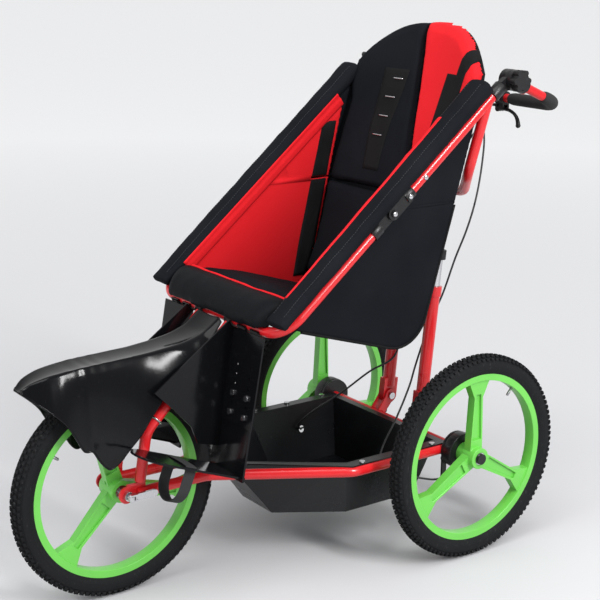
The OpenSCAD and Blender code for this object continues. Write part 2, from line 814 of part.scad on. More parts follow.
// Across a section, u runs from -1 at one hem over the crest to 1 at the other hem
function guard_x(g, u, inset) = let (a = abs(u))
    sign(u) * (a < guard_top_share ? (g[2] - inset) * a / guard_top_share
    : mix(g[2] - inset, g[3] - inset, pow((a - guard_top_share) / (1 - guard_top_share), guard_bow)));
function guard_z(g, u, inset) = let (a = abs(u))
    (a < guard_top_share ? g[1] - guard_hollow * (1 - pow(a / guard_top_share, 2))
    : mix(g[1], g[4], pow((a - guard_top_share) / (1 - guard_top_share), guard_fall))) - inset;
function guard_grid(inset) = [for (g = guard_stations)
    [for (j = [-guard_half_steps : guard_half_steps]) let (u = j / guard_half_steps)
        [guard_x(g, u, inset), -seat_pivot_y - g[0] * guard_stretch, guard_z(g, u, inset)]]];
module mudguard() {
    color([0.08, 0.08, 0.08])
        grid_solid(guard_grid(0), guard_grid(guard_t));
}

// Telescopic struts
strut_base_y = 39;
strut_base = [strut_x, strut_base_y, axle_z + strut_pivot_h];
hoop_y = 92;
hoop_z = 865;
strut_dir = unit([0, hoop_y - strut_base.y, hoop_z - strut_base.z]);
strut_lean = atan2(strut_dir.y, strut_dir.z);
strut_reach = norm([hoop_y - strut_base.y, hoop_z - strut_base.z]);
tongue_w = 20;
tongue_l = 44;
tongue_h = 46;
ear_t = 5;
ear_w = 36;
ear_gap = 0.4;
pivot_r = 5;
pivot_head_r = 9;
pivot_head_t = 5;
ferrule_r = 19;
ferrule_h = 25;
rod_in = 150;
collar_r = 20;
collar_h = 24;
collar_s = 388;
saddle_clear = 2.5;
saddle_t = 5;
saddle_w = 34;
module at_strut() {
    translate(strut_base)
        rotate([-strut_lean, 0, 0])
            children();
}
module strut_tube() {
    at_strut()
        difference() {
            union() {
                translate([0, 0, tongue_h / 2])
                    cylinder(h = strut_len - tongue_h / 2, r = strut_r);
                translate([-tongue_w / 2, -tongue_l / 2, 0])
                    cube([tongue_w, tongue_l, tongue_h]);
                rotate([0, 90, 0])
                    cylinder(h = tongue_w, r = tongue_l / 2, center = true);
                translate([0, 0, strut_len - over])
                    cylinder(h = ferrule_h, r = ferrule_r);
            }
            translate([0, 0, tongue_h])
                cylinder(h = strut_len, r = rod_r + run);
            rotate([0, 90, 0])
                cylinder(h = strut_d * 2, r = pivot_r + run, center = true);
            for (side = [-1, 1])
                translate([side * (tongue_w / 2 + strut_r) - strut_r, -strut_d, 0])
                    cube([strut_d, strut_d * 2, pivot_lift]);
        }
}
pivot_lift = 24;
module strut_tubes() {
    color("red")
        both_sides()
            strut_tube();
}
module strut_rods() {
    top = strut_reach - tube_r - saddle_clear;
    color("silver")
        both_sides()
            at_strut()
                difference() {
                    union() {
                        translate([0, 0, rod_in])
                            cylinder(h = top - rod_in, r = rod_r);
                        translate([0, 0, strut_reach])
                            rotate([0, 90, 0])
                                cylinder(h = saddle_w, r = tube_r + saddle_clear + saddle_t, center = true);
                    }
                    translate([0, 0, strut_reach])
                        rotate([0, 90, 0])
                            cylinder(h = saddle_w + 2 * over, r = tube_r + saddle_clear, center = true);
                    translate([-saddle_w, -strut_d, strut_reach])
                        cube([2 * saddle_w, 2 * strut_d, strut_d]);
                }
}
module strut_collars() {
    color([0.1, 0.1, 0.1])
        both_sides()
            at_strut()
                translate([0, 0, collar_s])
                    difference() {
                        cylinder(h = collar_h, r = collar_r);
                        translate([0, 0, -over])
                            cylinder(h = collar_h + 2 * over, r = rod_r + run);
                    }
}
module strut_brackets() {
    color("red")
        both_sides()
            for (side = [-1, 1])
                difference() {
                    union() {
                        cross_bar(strut_base.x + side * (tongue_w / 2 + ear_gap + ear_t / 2) - ear_t / 2,
                            strut_base.x + side * (tongue_w / 2 + ear_gap + ear_t / 2) + ear_t / 2,
                            strut_base.y, strut_base.z, ear_w / 2);
                        side_plate(strut_base.x + side * (tongue_w / 2 + ear_gap + ear_t / 2) - ear_t / 2,
                            strut_base.x + side * (tongue_w / 2 + ear_gap + ear_t / 2) + ear_t / 2,
                            [[-tube_r, axle_z], [ear_w / 2, axle_z],
                                [strut_base.y + ear_w / 2, strut_base.z],
                                [strut_base.y - ear_w / 2, strut_base.z]]);
                    }
                    cross_bar(0, rail_x, 0, axle_z, tube_r + gap);
                    cross_bar(0, rail_x, strut_base.y, strut_base.z, pivot_r + run);
                }
}
module strut_pivot_bolts() {
    half = tongue_w / 2 + ear_gap + ear_t + gap;
    color("silver")
        both_sides()
            union() {
                cross_bar(strut_x - half - pivot_head_t, strut_x + half + pivot_head_t, strut_base.y,
                    strut_base.z, pivot_r);
                for (side = [-1, 1])
                    cross_bar(strut_x + side * (half + pivot_head_t / 2) - pivot_head_t / 2,
                        strut_x + side * (half + pivot_head_t / 2) + pivot_head_t / 2,
                        strut_base.y, strut_base.z, pivot_head_r);
            }
}

// Seat rails, their fold hinges and the back hoop
hinge_y = rail_point(hinge_s).y;
hinge_z = rail_point(hinge_s).z;
hinge_reach = 46;
hinge_len = 26;
hinge_eye_r = 15;
hinge_tongue_t = 9;
hinge_cheek_t = 7;
hinge_pin_r = 5;
hinge_side_gap = 0.3;
hinge_head_r = 8;
hinge_head_t = 3;
hinge_sleeve_r = 16.5;
seat_corner_r = 60;
hoop_bend_r = 60;
knee_x = 218;
knee_out_share = 0.4;
hoop_knee = [min(rail_x, knee_x + max(0, handle_rail - rail_len) * knee_out_share), 20, 930];
hoop_corner = [130, hoop_y, hoop_z];
module seat_loop() {
    low = rail_point(hinge_s - hinge_reach);
    corner = rail_point(0);
    color("red")
        bent_bar([low, corner, [-corner.x, corner.y, corner.z], [-low.x, low.y, low.z]], tube_r,
            seat_corner_r);
}
// Half of a fold hinge: a sleeve on the rail and flat leaves that reach to the pin
module hinge_half(dir, leaves) {
    difference() {
        union() {
            round_bar(rail_point(hinge_s + dir * hinge_reach), rail_point(hinge_s
                + dir * (hinge_reach + hinge_len)), hinge_sleeve_r);
            for (leaf = leaves) {
                cross_bar(leaf.x, leaf.y, hinge_y, hinge_z, hinge_eye_r);
                side_plate(leaf.x, leaf.y, [for (q = [[0, -1], [dir, -1], [dir, 1], [0, 1]])
                    let (p = rail_point(hinge_s + q.x * (hinge_reach + hinge_len / 2), q.y * hinge_eye_r))
                        [p.y, p.z]]);
            }
        }
        round_bar(rail_point(hinge_s + dir * (hinge_reach - gap)), rail_point(hinge_s
            + dir * (hinge_reach + 2 * hinge_len)), tube_r + run);
    }
}
module hinge_lower() {
    half = hinge_tongue_t / 2 + hinge_side_gap + hinge_cheek_t + hinge_side_gap;
    color([0.1, 0.1, 0.1])
        both_sides() {
            hinge_half(-1, [[rail_x - hinge_tongue_t / 2, rail_x + hinge_tongue_t / 2]]);
            cross_bar(rail_x - half - hinge_head_t, rail_x + half + hinge_head_t, hinge_y, hinge_z,
                hinge_pin_r);
            for (side = [-1, 1])
                cross_bar(rail_x + side * (half + hinge_head_t / 2) - hinge_head_t / 2,
                    rail_x + side * (half + hinge_head_t / 2) + hinge_head_t / 2, hinge_y, hinge_z,
                    hinge_head_r);
        }
}
module hinge_upper() {
    near = hinge_tongue_t / 2 + hinge_side_gap;
    color([0.1, 0.1, 0.1])
        both_sides()
            difference() {
                hinge_half(1, [for (side = [-1, 1])
                    let (x = rail_x + side * (near + hinge_cheek_t / 2))
                        [x - hinge_cheek_t / 2, x + hinge_cheek_t / 2]]);
                cross_bar(0, 2 * rail_x, hinge_y, hinge_z, hinge_pin_r + run);
            }
}
function other_side(p) = [for (i = [len(p) - 1 : -1 : 0]) [-p[i].x, p[i].y, p[i].z]];
module back_hoop() {
    leg = [rail_point(rail_len), hoop_knee, hoop_corner];
    color("red")
        union() {
            bent_bar(concat(leg, other_side(leg)), tube_r, hoop_bend_r);
            both_sides()
                round_bar(rail_point(hinge_s + hinge_reach), rail_point(rail_end_s), tube_r);
        }
}

// Seat upholstery: the shell hangs between the rails, and the back shell above the hinge line
seat_out_x = 232;
seat_in_x = seat_out_x - shell_t;
shell_up = 16.5;
shell_front_s = 52;
base_front_y = 480;
base_front_z = 622.5;
base_corner_r = 85;
corner_steps = 8;
back_ref_y = -35;
back_ref_z = 846;
split_gap = 0.6;
split_z = hinge_z;
function back_y(z) = back_ref_y + (z - back_ref_z) * tan(back_lean);
function base_z(y) = base_front_z - (y + base_front_y) * tan(base_slope);
corner_y = (back_ref_y + (base_front_z - base_front_y * tan(base_slope) - back_ref_z) * tan(back_lean))
    / (1 + tan(base_slope) * tan(back_lean));
corner_turn = 90 + base_slope - back_lean;
// Round corner between the base line and the back line, each moved in by an inset
function corner_arc(inset) = let (r = base_corner_r - inset, c = corner_centre())
    [for (i = [0 : corner_steps]) let (a = -90 - base_slope + corner_turn * i / corner_steps)
        [c.x + r * cos(a), c.y + r * sin(a)]];
function corner_centre() = let (along = base_corner_r * tan(corner_turn / 2))
    [corner_y - along * cos(base_slope) + base_corner_r * sin(base_slope),
        base_z(corner_y) + along * sin(base_slope) + base_corner_r * cos(base_slope)];
function rail_at_z(z, up) = let (s = (z - seat_pivot_z - up * cos(rail_angle)) / sin(rail_angle),
        p = rail_point(s, up))
    [p.y, p.z];
function yz(p) = [p.y, p.z];
front_foot = [-base_front_y, base_front_z];
function moved_base(inset) = front_foot + inset * [sin(base_slope), cos(base_slope)];
module seat_shell() {
    split = split_z - split_gap / 2;
    top = rail_at_z(split, shell_up);
    front = yz(rail_point(shell_front_s, shell_up));
    color([0.1, 0.1, 0.12])
        difference() {
            side_plate(-seat_out_x, seat_out_x, concat([front, moved_base(0)], corner_arc(0),
                [[back_y(split), split], top]));
            side_plate(-seat_in_x, seat_in_x, concat([front - [shell_up, 0],
                moved_base(shell_t) - [shell_up, 0], moved_base(shell_t)], corner_arc(shell_t),
                [[back_y(split) - shell_t, split],
                [back_y(split) - shell_t, split + over], top + [0, over],
                front + [-shell_up, shell_up]]));
        }
}
back_steps = 10;
side_steps = 4;
liner_top_share = 0.9;
back_side_drop = 95;
back_top_w = 205;
taper_z = 1060;
side_top_z = 1110;
function back_half(z) = z < taper_z ? seat_out_x
    : mix(seat_out_x, back_top_w, (z - taper_z) / (back_top_z - taper_z));
function back_bow(u, z) = back_hollow * (1 - u * u) * (z - split_z) / (back_top_z - split_z);
function back_edge_z(u) = back_top_z - back_side_drop * pow(abs(u), 3);
// The back sheet between two shares of its half width
function back_grid(u0, u1, low, drop, inset) = [for (i = [0 : back_steps])
    [for (j = [0 : back_steps]) let (u = mix(u0, u1, j / back_steps),
            z = mix(low, back_edge_z(u) - drop, i / back_steps))
        [u * back_half(z), back_y(z) + back_bow(u, z) - inset, z]]];
// The left side of the back, between the rail's line and the back's line
function side_grid(low, inset) = [for (i = [0 : back_steps]) let (z = mix(low, side_top_z, i / back_steps))
    [for (j = [0 : side_steps])
        [back_half(z) - inset, mix(rail_at_z(z, shell_up).x, back_y(z), j / side_steps), z]]];
// The sides are cut round at the fold hinges, where they would meet the seat's as the back folds
hinge_relief_r = 46;
module back_shell() {
    low = split_z + split_gap / 2;
    color([0.1, 0.1, 0.12])
        difference() {
            union() {
                grid_solid(back_grid(-1, 1, low, 0, 0), back_grid(-1, 1, low, 0, shell_t));
                both_sides()
                    grid_solid(side_grid(low, shell_t), side_grid(low, 0));
            }
            cross_bar(-seat_out_x - over, seat_out_x + over, hinge_y, hinge_z, hinge_relief_r);
        }
}
cushion_edge = 46;
cushion_crown = 16;
cushion_draw = 0.03;
cushion_l = 330;
cushion_side_gap = 12;
cushion_w = 2 * (seat_in_x - cushion_side_gap);
cushion_start = 8;
cushion_rise = 33;
lumbar_rise = 0;
module at_base(start) {
    translate([0, -base_front_y + start * cos(base_slope), base_front_z - start * sin(base_slope)])
        rotate([-base_slope, 0, 0])
            translate([0, 0, shell_t + soft_gap])
                children();
}
module seat_cushion() {
    color([0.12, 0.12, 0.13])
        at_base(cushion_start + cushion_l / 2)
            pad(cushion_w, cushion_l, cushion_edge, cushion_crown, cushion_draw, cushion_rise);
}
roll_r = 30;
roll_half = 205.7;
roll_flat_share = 0.75;
roll_z = 665;
roll_end_share = 0.8;
roll_steps = 14;
roll_sides = 16;
// The front roll lies along the cushion's front edge, over the front cross tube
module front_roll() {
    y = -base_front_y + cushion_start * cos(base_slope) - soft_gap - roll_r;
    rings = [for (i = [0 : roll_steps]) let (u = 2 * i / roll_steps - 1,
            r = roll_r * (roll_end_share + (1 - roll_end_share) * (1 - pow(u, 6))))
        [for (j = [0 : roll_sides - 1]) let (a = 360 * j / roll_sides)
            [u * roll_half, y + r * cos(a), roll_z + roll_flat_share * r * sin(a)]]];
    color([0.12, 0.12, 0.13])
        tube_skin(rings);
}
// A closed tube through rings of points
module tube_skin(rings) {
    n = len(rings);
    m = len(rings[0]);
    polyhedron(points = [for (ring = rings) each ring],
        faces = concat([[for (j = [0 : m - 1]) j]], [[for (j = [m - 1 : -1 : 0]) (n - 1) * m + j]],
            [for (i = [0 : n - 2], j = [0 : m - 1]) each [
                [i * m + j, (i + 1) * m + j, i * m + (j + 1) % m],
                [i * m + (j + 1) % m, (i + 1) * m + j, (i + 1) * m + (j + 1) % m]]]), convexity = 6);
}
lumbar_edge = 20;
lumbar_crown = 12;
lumbar_l = 240;
lumbar_top = 12;
module lumbar_pad() {
    z = split_z - lumbar_top;
    color([0.12, 0.12, 0.13])
        translate([0, back_y(z) - (shell_t + soft_gap) / cos(back_lean), z])
            rotate([90 - back_lean, 0, 0])
                translate([0, -lumbar_l / 2, 0])
                    pad(cushion_w, lumbar_l, lumbar_edge, lumbar_crown, cushion_draw, lumbar_rise);
}
back_pad_t = 20;
back_pad_crown = 8;
back_pad_margin = 9;
back_pad_low = 14;
pad_out_share = (seat_in_x - back_pad_margin) / seat_out_x;
function back_pad_swell(i, j) = back_pad_crown * (1 - pow(2 * i / back_steps - 1, 4))
    * (1 - pow(2 * j / back_steps - 1, 4));
module back_pad(u0, u1) {
    low = split_z + back_pad_low;
    rear = back_grid(u0, u1, low, back_pad_margin, shell_t + soft_gap);
    front = back_grid(u0, u1, low, back_pad_margin, shell_t + soft_gap + back_pad_t);
    grid_solid(rear, [for (i = [0 : back_steps]) [for (j = [0 : back_steps])
        front[i][j] - [0, back_pad_swell(i, j), 0]]]);
}
module back_pad_left() {
    color("red")
        back_pad(soft_gap / seat_out_x, pad_out_share);
}
module back_pad_right() {
    color([0.12, 0.12, 0.13])
        back_pad(-pad_out_share, -soft_gap / seat_out_x);
}
liner_t = 8;
liner_low_share = 0.18;
liner_back = 60;
// Flat padded liners inside the shell's sides, cut at the hinge line
module side_liners_lower() {
    split = split_z - split_gap;
    rear = back_y(split) - liner_back;
    low = rail_point(hinge_s * liner_low_share, -shell_up);
    foot = [rear - liner_back, base_z(rear - liner_back) + liner_back + shell_t];
    color("red")
        both_sides()
            side_plate(seat_in_x - soft_gap - liner_t, seat_in_x - soft_gap, [yz(low), foot, [rear, split],
                rail_at_z(split, -shell_up)]);
}
module side_liners_upper() {
    low = split_z + split_gap;
    top = rail_point(rail_len * liner_top_share, -shell_up);
    rear = back_y(low) - liner_back;
    color("red")
        both_sides()
            side_plate(seat_in_x - soft_gap - liner_t, seat_in_x - soft_gap, [rail_at_z(low, -shell_up),
                [rear, low], yz(top)]);
}
pad_h = 22;
pad_in_x = 206;
pad_out_x = 272;
pad_up = 17;
pad_end = 14;
// A padded roll along the top of a rail between two distances
module rail_pad(s0, s1) {
    a = rail_point(s0, pad_up + pad_h / 2);
    translate([0, a.y, a.z])
        rotate([rail_angle - 90, 0, 0])
            linear_extrude(s1 - s0)
                union() {
                    translate([pad_in_x + pad_h / 2, -pad_h / 2])
                        square([pad_out_x - pad_in_x - pad_h, pad_h]);
                    for (x = [pad_in_x + pad_h / 2, pad_out_x - pad_h / 2])
                        translate([x, 0])
                            circle(r = pad_h / 2);
                }
}
module rail_pads_lower() {
    color([0.1, 0.1, 0.1])
        both_sides()
            rail_pad(pad_end, hinge_s - split_gap);
}
module rail_pads_upper() {
    color([0.1, 0.1, 0.1])
        both_sides()
            rail_pad(hinge_s + split_gap, rail_len - pad_end);
}

// Handle: necks on the rail tops, knuckles, bar, grips and brake levers
neck_t = 15;
neck_start = 16;
neck_in = 34;
rail_end_s = rail_len + neck_start + neck_in;
neck_wall = 4;
neck_share = 0.8;
cheek_t = 11;
cheek_gap = 0.3;
knuckle_pin_r = 6;
knob_r = 20;
knob_t = 18;
knob_lobe_r = 7;
knob_lobes = 6;
knob_gap = 0.3;
arm_clear = 6;
arm_socket_len = 14;
arm_socket_r = 15;
module handle_necks() {
    top = rail_point(rail_end_s);
    color([0.1, 0.1, 0.1])
        both_sides()
            difference() {
                union() {
                    round_bar(rail_point(rail_len + neck_start), rail_point(rail_end_s + over),
                        tube_r + neck_wall);
                    cross_bar(rail_x - neck_t / 2, rail_x + neck_t / 2, knuckle_y, knuckle_z, knuckle_r);
                    side_plate(rail_x - neck_t / 2, rail_x + neck_t / 2, neck_outline(top));
                }
                round_bar(rail_point(rail_len), rail_point(rail_end_s + run), tube_r + run);
                cross_bar(0, 2 * rail_x, knuckle_y, knuckle_z, knuckle_pin_r + run);
            }
}
function neck_outline(top) = let (d = unit([knuckle_y - top.y, knuckle_z - top.z]), n = [-d.y, d.x])
    [yz(top) + n * tube_r, yz(top) - n * tube_r, [knuckle_y, knuckle_z] - n * knuckle_r * neck_share,
        [knuckle_y, knuckle_z] + n * knuckle_r * neck_share];
arm_dir = unit([0, bar_y - knuckle_y, bar_z - knuckle_z]);
arm_reach = knuckle_r + arm_clear;
arm_foot = [rail_x, knuckle_y, knuckle_z] + arm_dir * (arm_reach + arm_socket_len);
bar_half = [arm_foot, [rail_x, bar_y, bar_z]];
// The bar with a forked end on each arm, whose cheeks sit either side of the neck
module handlebar() {
    near = neck_t / 2 + cheek_gap;
    color("red")
        union() {
            bent_bar(concat(bar_half, other_side(bar_half)), bar_r, bar_bend_r);
            both_sides() {
                for (side = [-1, 1])
                    difference() {
                        union() {
                            cross_bar(rail_x + side * (near + cheek_t / 2) - cheek_t / 2,
                                rail_x + side * (near + cheek_t / 2) + cheek_t / 2, knuckle_y, knuckle_z,
                                knuckle_r);
                            cheek_arm(rail_x + side * (near + cheek_t / 2) - cheek_t / 2);
                        }
                        cross_bar(0, 2 * rail_x, knuckle_y, knuckle_z, knuckle_pin_r + run);
                    }
                round_bar([rail_x, knuckle_y, knuckle_z] + arm_dir * arm_reach, arm_foot + arm_dir * over,
                    near + cheek_t);
            }
        }
}
module cheek_arm(x0) {
    n = [-arm_dir.z, arm_dir.y];
    c = [knuckle_y, knuckle_z];
    far = c + [arm_dir.y, arm_dir.z] * (arm_reach + over);
    side_plate(x0, x0 + cheek_t, [c + n * arm_socket_r, c - n * arm_socket_r, far - n * arm_socket_r,
        far + n * arm_socket_r]);
}
grip_end_x = 105;
module grips() {
    color([0.08, 0.08, 0.08])
        both_sides()
            difference() {
                cross_bar(grip_end_x, rail_x - bar_bend_r, bar_y, bar_z, grip_r);
                cross_bar(0, rail_x, bar_y, bar_z, bar_r + run);
            }
}
module knuckle_knobs() {
    x0 = rail_x + neck_t / 2 + cheek_gap + cheek_t + knob_gap;
    color([0.08, 0.08, 0.08])
        both_sides()
            union() {
                cross_bar(rail_x - neck_t / 2 - cheek_t - 2 * cheek_gap, x0 + over, knuckle_y, knuckle_z,
                    knuckle_pin_r);
                cross_bar(x0, x0 + knob_t, knuckle_y, knuckle_z, knob_r);
                for (i = [0 : knob_lobes - 1])
                    cross_bar(x0, x0 + knob_t, knuckle_y + knob_r * cos(360 / knob_lobes * i),
                        knuckle_z + knob_r * sin(360 / knob_lobes * i), knob_lobe_r);
            }
}
perch_x = 60;
perch_w = 14;
perch_r = 17;
lever_pivot_x = 48;
lever_pivot_drop = 27;
lever_ear_t = 5;
lever_blade_t = 12;
lever_ear_gap = 0.3;
lever_pin_r = 3;
lever_eye_r = 8;
lever_tip_x = 112;
lever_tip_drop = 48;
lever_tip_r = 6;
lever_blade_r = 5;
barrel_r = 4;
barrel_l = 16;
lever_pivot_z = bar_z - lever_pivot_drop;
module lever_perch() {
    near = lever_blade_t / 2 + lever_ear_gap;
    difference() {
        union() {
            cross_bar(perch_x - perch_w / 2, perch_x + perch_w / 2, bar_y, bar_z, perch_r);
            for (side = [-1, 1])
                translate([0, bar_y + side * (near + lever_ear_t / 2) - lever_ear_t / 2, 0]) {
                    translate([lever_pivot_x, 0, lever_pivot_z])
                        rotate([-90, 0, 0])
                            cylinder(h = lever_ear_t, r = lever_eye_r);
                    translate([lever_pivot_x - lever_eye_r, 0, lever_pivot_z])
                        cube([perch_x + perch_w / 2 - lever_pivot_x + lever_eye_r, lever_ear_t,
                            bar_z - lever_pivot_z]);
                }
            translate([lever_pivot_x, bar_y - near - lever_ear_t, lever_pivot_z])
                rotate([-90, 0, 0])
                    cylinder(h = 2 * (near + lever_ear_t), r = lever_pin_r);
            translate([lever_pivot_x - lever_eye_r - barrel_l / 2, bar_y - near - lever_ear_t,
                    lever_pivot_z + lever_eye_r])
                rotate([0, 90, 0])
                    cylinder(h = barrel_l, r = barrel_r);
        }
        cross_bar(0, rail_x, bar_y, bar_z, bar_r + run);
    }
}
module lever_perches() {
    color([0.1, 0.1, 0.1])
        both_sides()
            lever_perch();
}
// A curved blade that points outwards below the bar and ends in a ball
module brake_lever_left() {
    tip = [lever_tip_x, bar_y, bar_z - lever_tip_drop];
    root = [lever_pivot_x, bar_y, lever_pivot_z];
    color([0.1, 0.1, 0.1])
        difference() {
            union() {
                translate([lever_pivot_x, bar_y - lever_blade_t / 2, lever_pivot_z])
                    rotate([-90, 0, 0])
                        cylinder(h = lever_blade_t, r = lever_eye_r - over);
                round_bar(root, tip, lever_blade_r);
                translate(tip)
                    sphere(r = lever_tip_r);
            }
            translate([lever_pivot_x, 0, lever_pivot_z])
                rotate([-90, 0, 0])
                    cylinder(h = 2 * bar_y, r = lever_pin_r + run);
        }
}

// Brake cables: from each lever down behind the seat and into the tray, then out to the brake arm
cable_r = 2.5;
cable_sides = 8;
cable_steps = 3;
cable_top = [[31.4, -11.3, -19], [27, -11.3, -19.4], [17, -11.6, -27], [10, -12, -46], [7, -15, -73]];
cable_upper = [[30, 250, 955], [58, 215, 880], [72, 186, 812]];
cable_upper_shares = [0.75, 0.5, 0.25];
cable_middle = [[74, 160, 748], [65, 135, 678], [48, 115, 588], [42, 80, 515], [41, 58, 460],
    [44, 34, 405], [78, -14, 368], [112, -80, 312], [146, -150, 262]];
cable_end = [[-60, -176, 230], [-47, -160, 208], [-31, -144, 203], [-11, -104, 192], [5, -64, 182],
    [10, -37.5, 180]];
cable_route = concat([for (p = cable_top) p + [0, bar_y, bar_z]],
    [for (i = [0 : len(cable_upper) - 1]) cable_upper[i] + rail_more * cable_upper_shares[i]],
    cable_middle, [for (p = cable_end) p + [side_x, 0, 0]]);
// Points between the route's own, on a smooth curve through them
function spline_at(p, i, t) = let (a = p[max(i - 1, 0)], b = p[i], c = p[i + 1],
        d = p[min(i + 2, len(p) - 1)])
    0.5 * (2 * b + (c - a) * t + (2 * a - 5 * b + 4 * c - d) * t * t + (3 * b - a - 3 * c + d) * t * t * t);
function smooth(p, n) = concat([for (i = [0 : len(p) - 2], k = [0 : n - 1]) spline_at(p, i, k / n)],
    [p[len(p) - 1]]);
function ring_at(q, i, r, n) = let (u = unit(q[min(i + 1, len(q) - 1)] - q[max(i - 1, 0)]),
        a = unit(cross(u, [1, 0, 0])), b = cross(u, a))
    [for (j = [0 : n - 1]) q[i] + r * (cos(360 * j / n) * a + sin(360 * j / n) * b)];
module cable(route) {
    q = smooth(route, cable_steps);
    color([0.06, 0.06, 0.06])
        tube_skin([for (i = [0 : len(q) - 1]) ring_at(q, i, cable_r, cable_sides)]);
}
module brake_cable_left() {
    cable(cable_route);
}

// Every piece in the row's frame
module placed() {
    translate([0, origin_y, 0])
        children();
}
module placed_right() {
    placed()
        mirror([1, 0, 0])
            children();
}
placed() axle_tube();
placed() frame_side_left();
placed_right() frame_side_left();  // frame_side_right
placed() fork_dropouts();
placed() fork_left();
placed_right() fork_left();  // fork_right
placed() seat_pivot_clamps();
placed() front_axle();
placed() quick_release_lever();
placed() rear_axles();
placed() brake_plates();
placed() brake_arm_left();
placed_right() brake_arm_left();  // brake_arm_right
placed() storage_tray();
placed() calf_panel_left();
placed_right() calf_panel_left();  // calf_panel_right
placed() foot_plates();
placed() foot_straps();
placed() panel_bolts();
placed() mudguard();
placed() strut_brackets();
placed() strut_pivot_bolts();
placed() brake_cable_left();
placed_right() brake_cable_left();  // brake_cable_right
placed() front_wheel();
placed() front_tyre();
placed() front_bearings();
placed() rear_wheel_left();
placed() rear_tyre_left();
placed() rear_bearings_left();
placed() brake_drum_left();
placed_right() rear_wheel_left();  // rear_wheel_right
placed_right() rear_tyre_left();  // rear_tyre_right
placed_right() rear_bearings_left();  // rear_bearings_right
placed_right() brake_drum_left();  // brake_drum_right
placed() strut_tubes();
placed() strut_rods();
placed() strut_collars();
placed() seat_loop();
placed() hinge_lower();
placed() seat_shell();
placed() seat_cushion();
placed() front_roll();
placed() lumbar_pad();
placed() side_liners_lower();
placed() rail_pads_lower();
placed() back_hoop();
placed() hinge_upper();
placed() back_shell();
placed() back_pad_left();
placed() back_pad_right();
placed() side_liners_upper();
placed() rail_pads_upper();
placed() handle_necks();
placed() handlebar();
placed() grips();
placed() knuckle_knobs();
placed() lever_perches();
placed() brake_lever_left();
placed_right() brake_lever_left();  // brake_lever_right
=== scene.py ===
import math

import bmesh
import bpy
from mathutils import Matrix, Vector, noise
from mathutils.bvhtree import BVHTree


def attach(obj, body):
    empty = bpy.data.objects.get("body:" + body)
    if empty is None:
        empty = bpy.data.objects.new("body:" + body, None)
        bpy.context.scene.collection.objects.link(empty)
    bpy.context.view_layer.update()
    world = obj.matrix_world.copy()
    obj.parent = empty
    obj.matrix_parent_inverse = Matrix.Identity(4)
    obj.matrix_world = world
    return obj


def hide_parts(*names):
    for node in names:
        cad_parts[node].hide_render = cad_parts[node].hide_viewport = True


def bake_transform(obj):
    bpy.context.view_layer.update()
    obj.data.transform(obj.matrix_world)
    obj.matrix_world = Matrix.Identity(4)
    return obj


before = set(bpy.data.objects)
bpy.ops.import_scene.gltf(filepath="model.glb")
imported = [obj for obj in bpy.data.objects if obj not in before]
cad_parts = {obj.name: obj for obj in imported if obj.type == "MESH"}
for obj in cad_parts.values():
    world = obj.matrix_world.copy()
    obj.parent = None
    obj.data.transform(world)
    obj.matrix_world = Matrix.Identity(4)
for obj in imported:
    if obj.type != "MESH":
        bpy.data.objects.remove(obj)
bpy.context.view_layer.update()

# Studio
# A seamless pale floor in a pale room, with one broad light from above and a strip light on each side
# of the camera. The camera stands level with the handle and looks down on the buggy's left front.
studio = bpy.context.scene
studio.view_settings.view_transform = "Standard"
camera_place = (2.597, -1.860, 1.474)
yaw, pitch, roll = math.radians(53.23), math.radians(14.78), math.radians(1.08)
away = Vector((math.sin(yaw) * math.cos(pitch), -math.cos(yaw) * math.cos(pitch), math.sin(pitch)))
level = Vector((math.cos(yaw), math.sin(yaw), 0))
upright = away.cross(level)
across = math.cos(roll) * level + math.sin(roll) * upright
upward = math.cos(roll) * upright - math.sin(roll) * level
camera_turn = Matrix((across, upward, away)).transposed().to_4x4()
lens = bpy.data.cameras.new("camera")
lens.lens = 84
lens.sensor_width = 36
lens.clip_end = 300
camera = bpy.data.objects.new("camera", lens)
camera.matrix_world = Matrix.Translation(camera_place) @ camera_turn
studio.collection.objects.link(camera)
studio.camera = camera


def lamp(name, kind, place, target, energy, **settings):
    light = bpy.data.lights.new(name, kind)
    light.energy = energy
    for key, value in settings.items():
        setattr(light, key, value)
    holder = bpy.data.objects.new(name, light)
    holder.location = place
    holder.rotation_euler = (Vector(place) - Vector(target)).to_track_quat("Z", "Y").to_euler()
    studio.collection.objects.link(holder)


lamp("overhead", "SUN", (1.2, -1.6, 5.0), (0, 0, 0.5), 1.45, angle=math.radians(40))
lamp("left_box", "AREA", (3.4, 0.6, 2.8), (0, 0.1, 0.7), 165, shape="RECTANGLE", size=0.4, size_y=2.4)
lamp("front_box", "AREA", (0.2, -3.4, 2.6), (0, 0, 0.6), 58, shape="RECTANGLE", size=2.4, size_y=0.4)


def put(tree, kind, inputs=(), **settings):
    """A new shader node with its settings, and each input set to a value or linked to a socket."""
    node = tree.nodes.new(kind)
    for key, value in settings.items():
        setattr(node, key, value)
    for key, value in dict(inputs).items():
        if isinstance(value, bpy.types.NodeSocket):
            tree.links.new(value, node.inputs[key])
        else:
            node.inputs[key].default_value = value
    return node


def maths(tree, operation, *values, **settings):
    return put(tree, "ShaderNodeMath", enumerate(values), operation=operation, **settings).outputs[0]


def remap(tree, value, from_min=0.0, from_max=1.0, to_min=0.0, to_max=1.0):
    return put(tree, "ShaderNodeMapRange", {"Value": value, "From Min": from_min, "From Max": from_max,
                                            "To Min": to_min, "To Max": to_max}).outputs[0]


def mix_colours(tree, factor, first, second):
    return put(tree, "ShaderNodeMix", {0: factor, 6: first, 7: second}, data_type="RGBA").outputs[2]


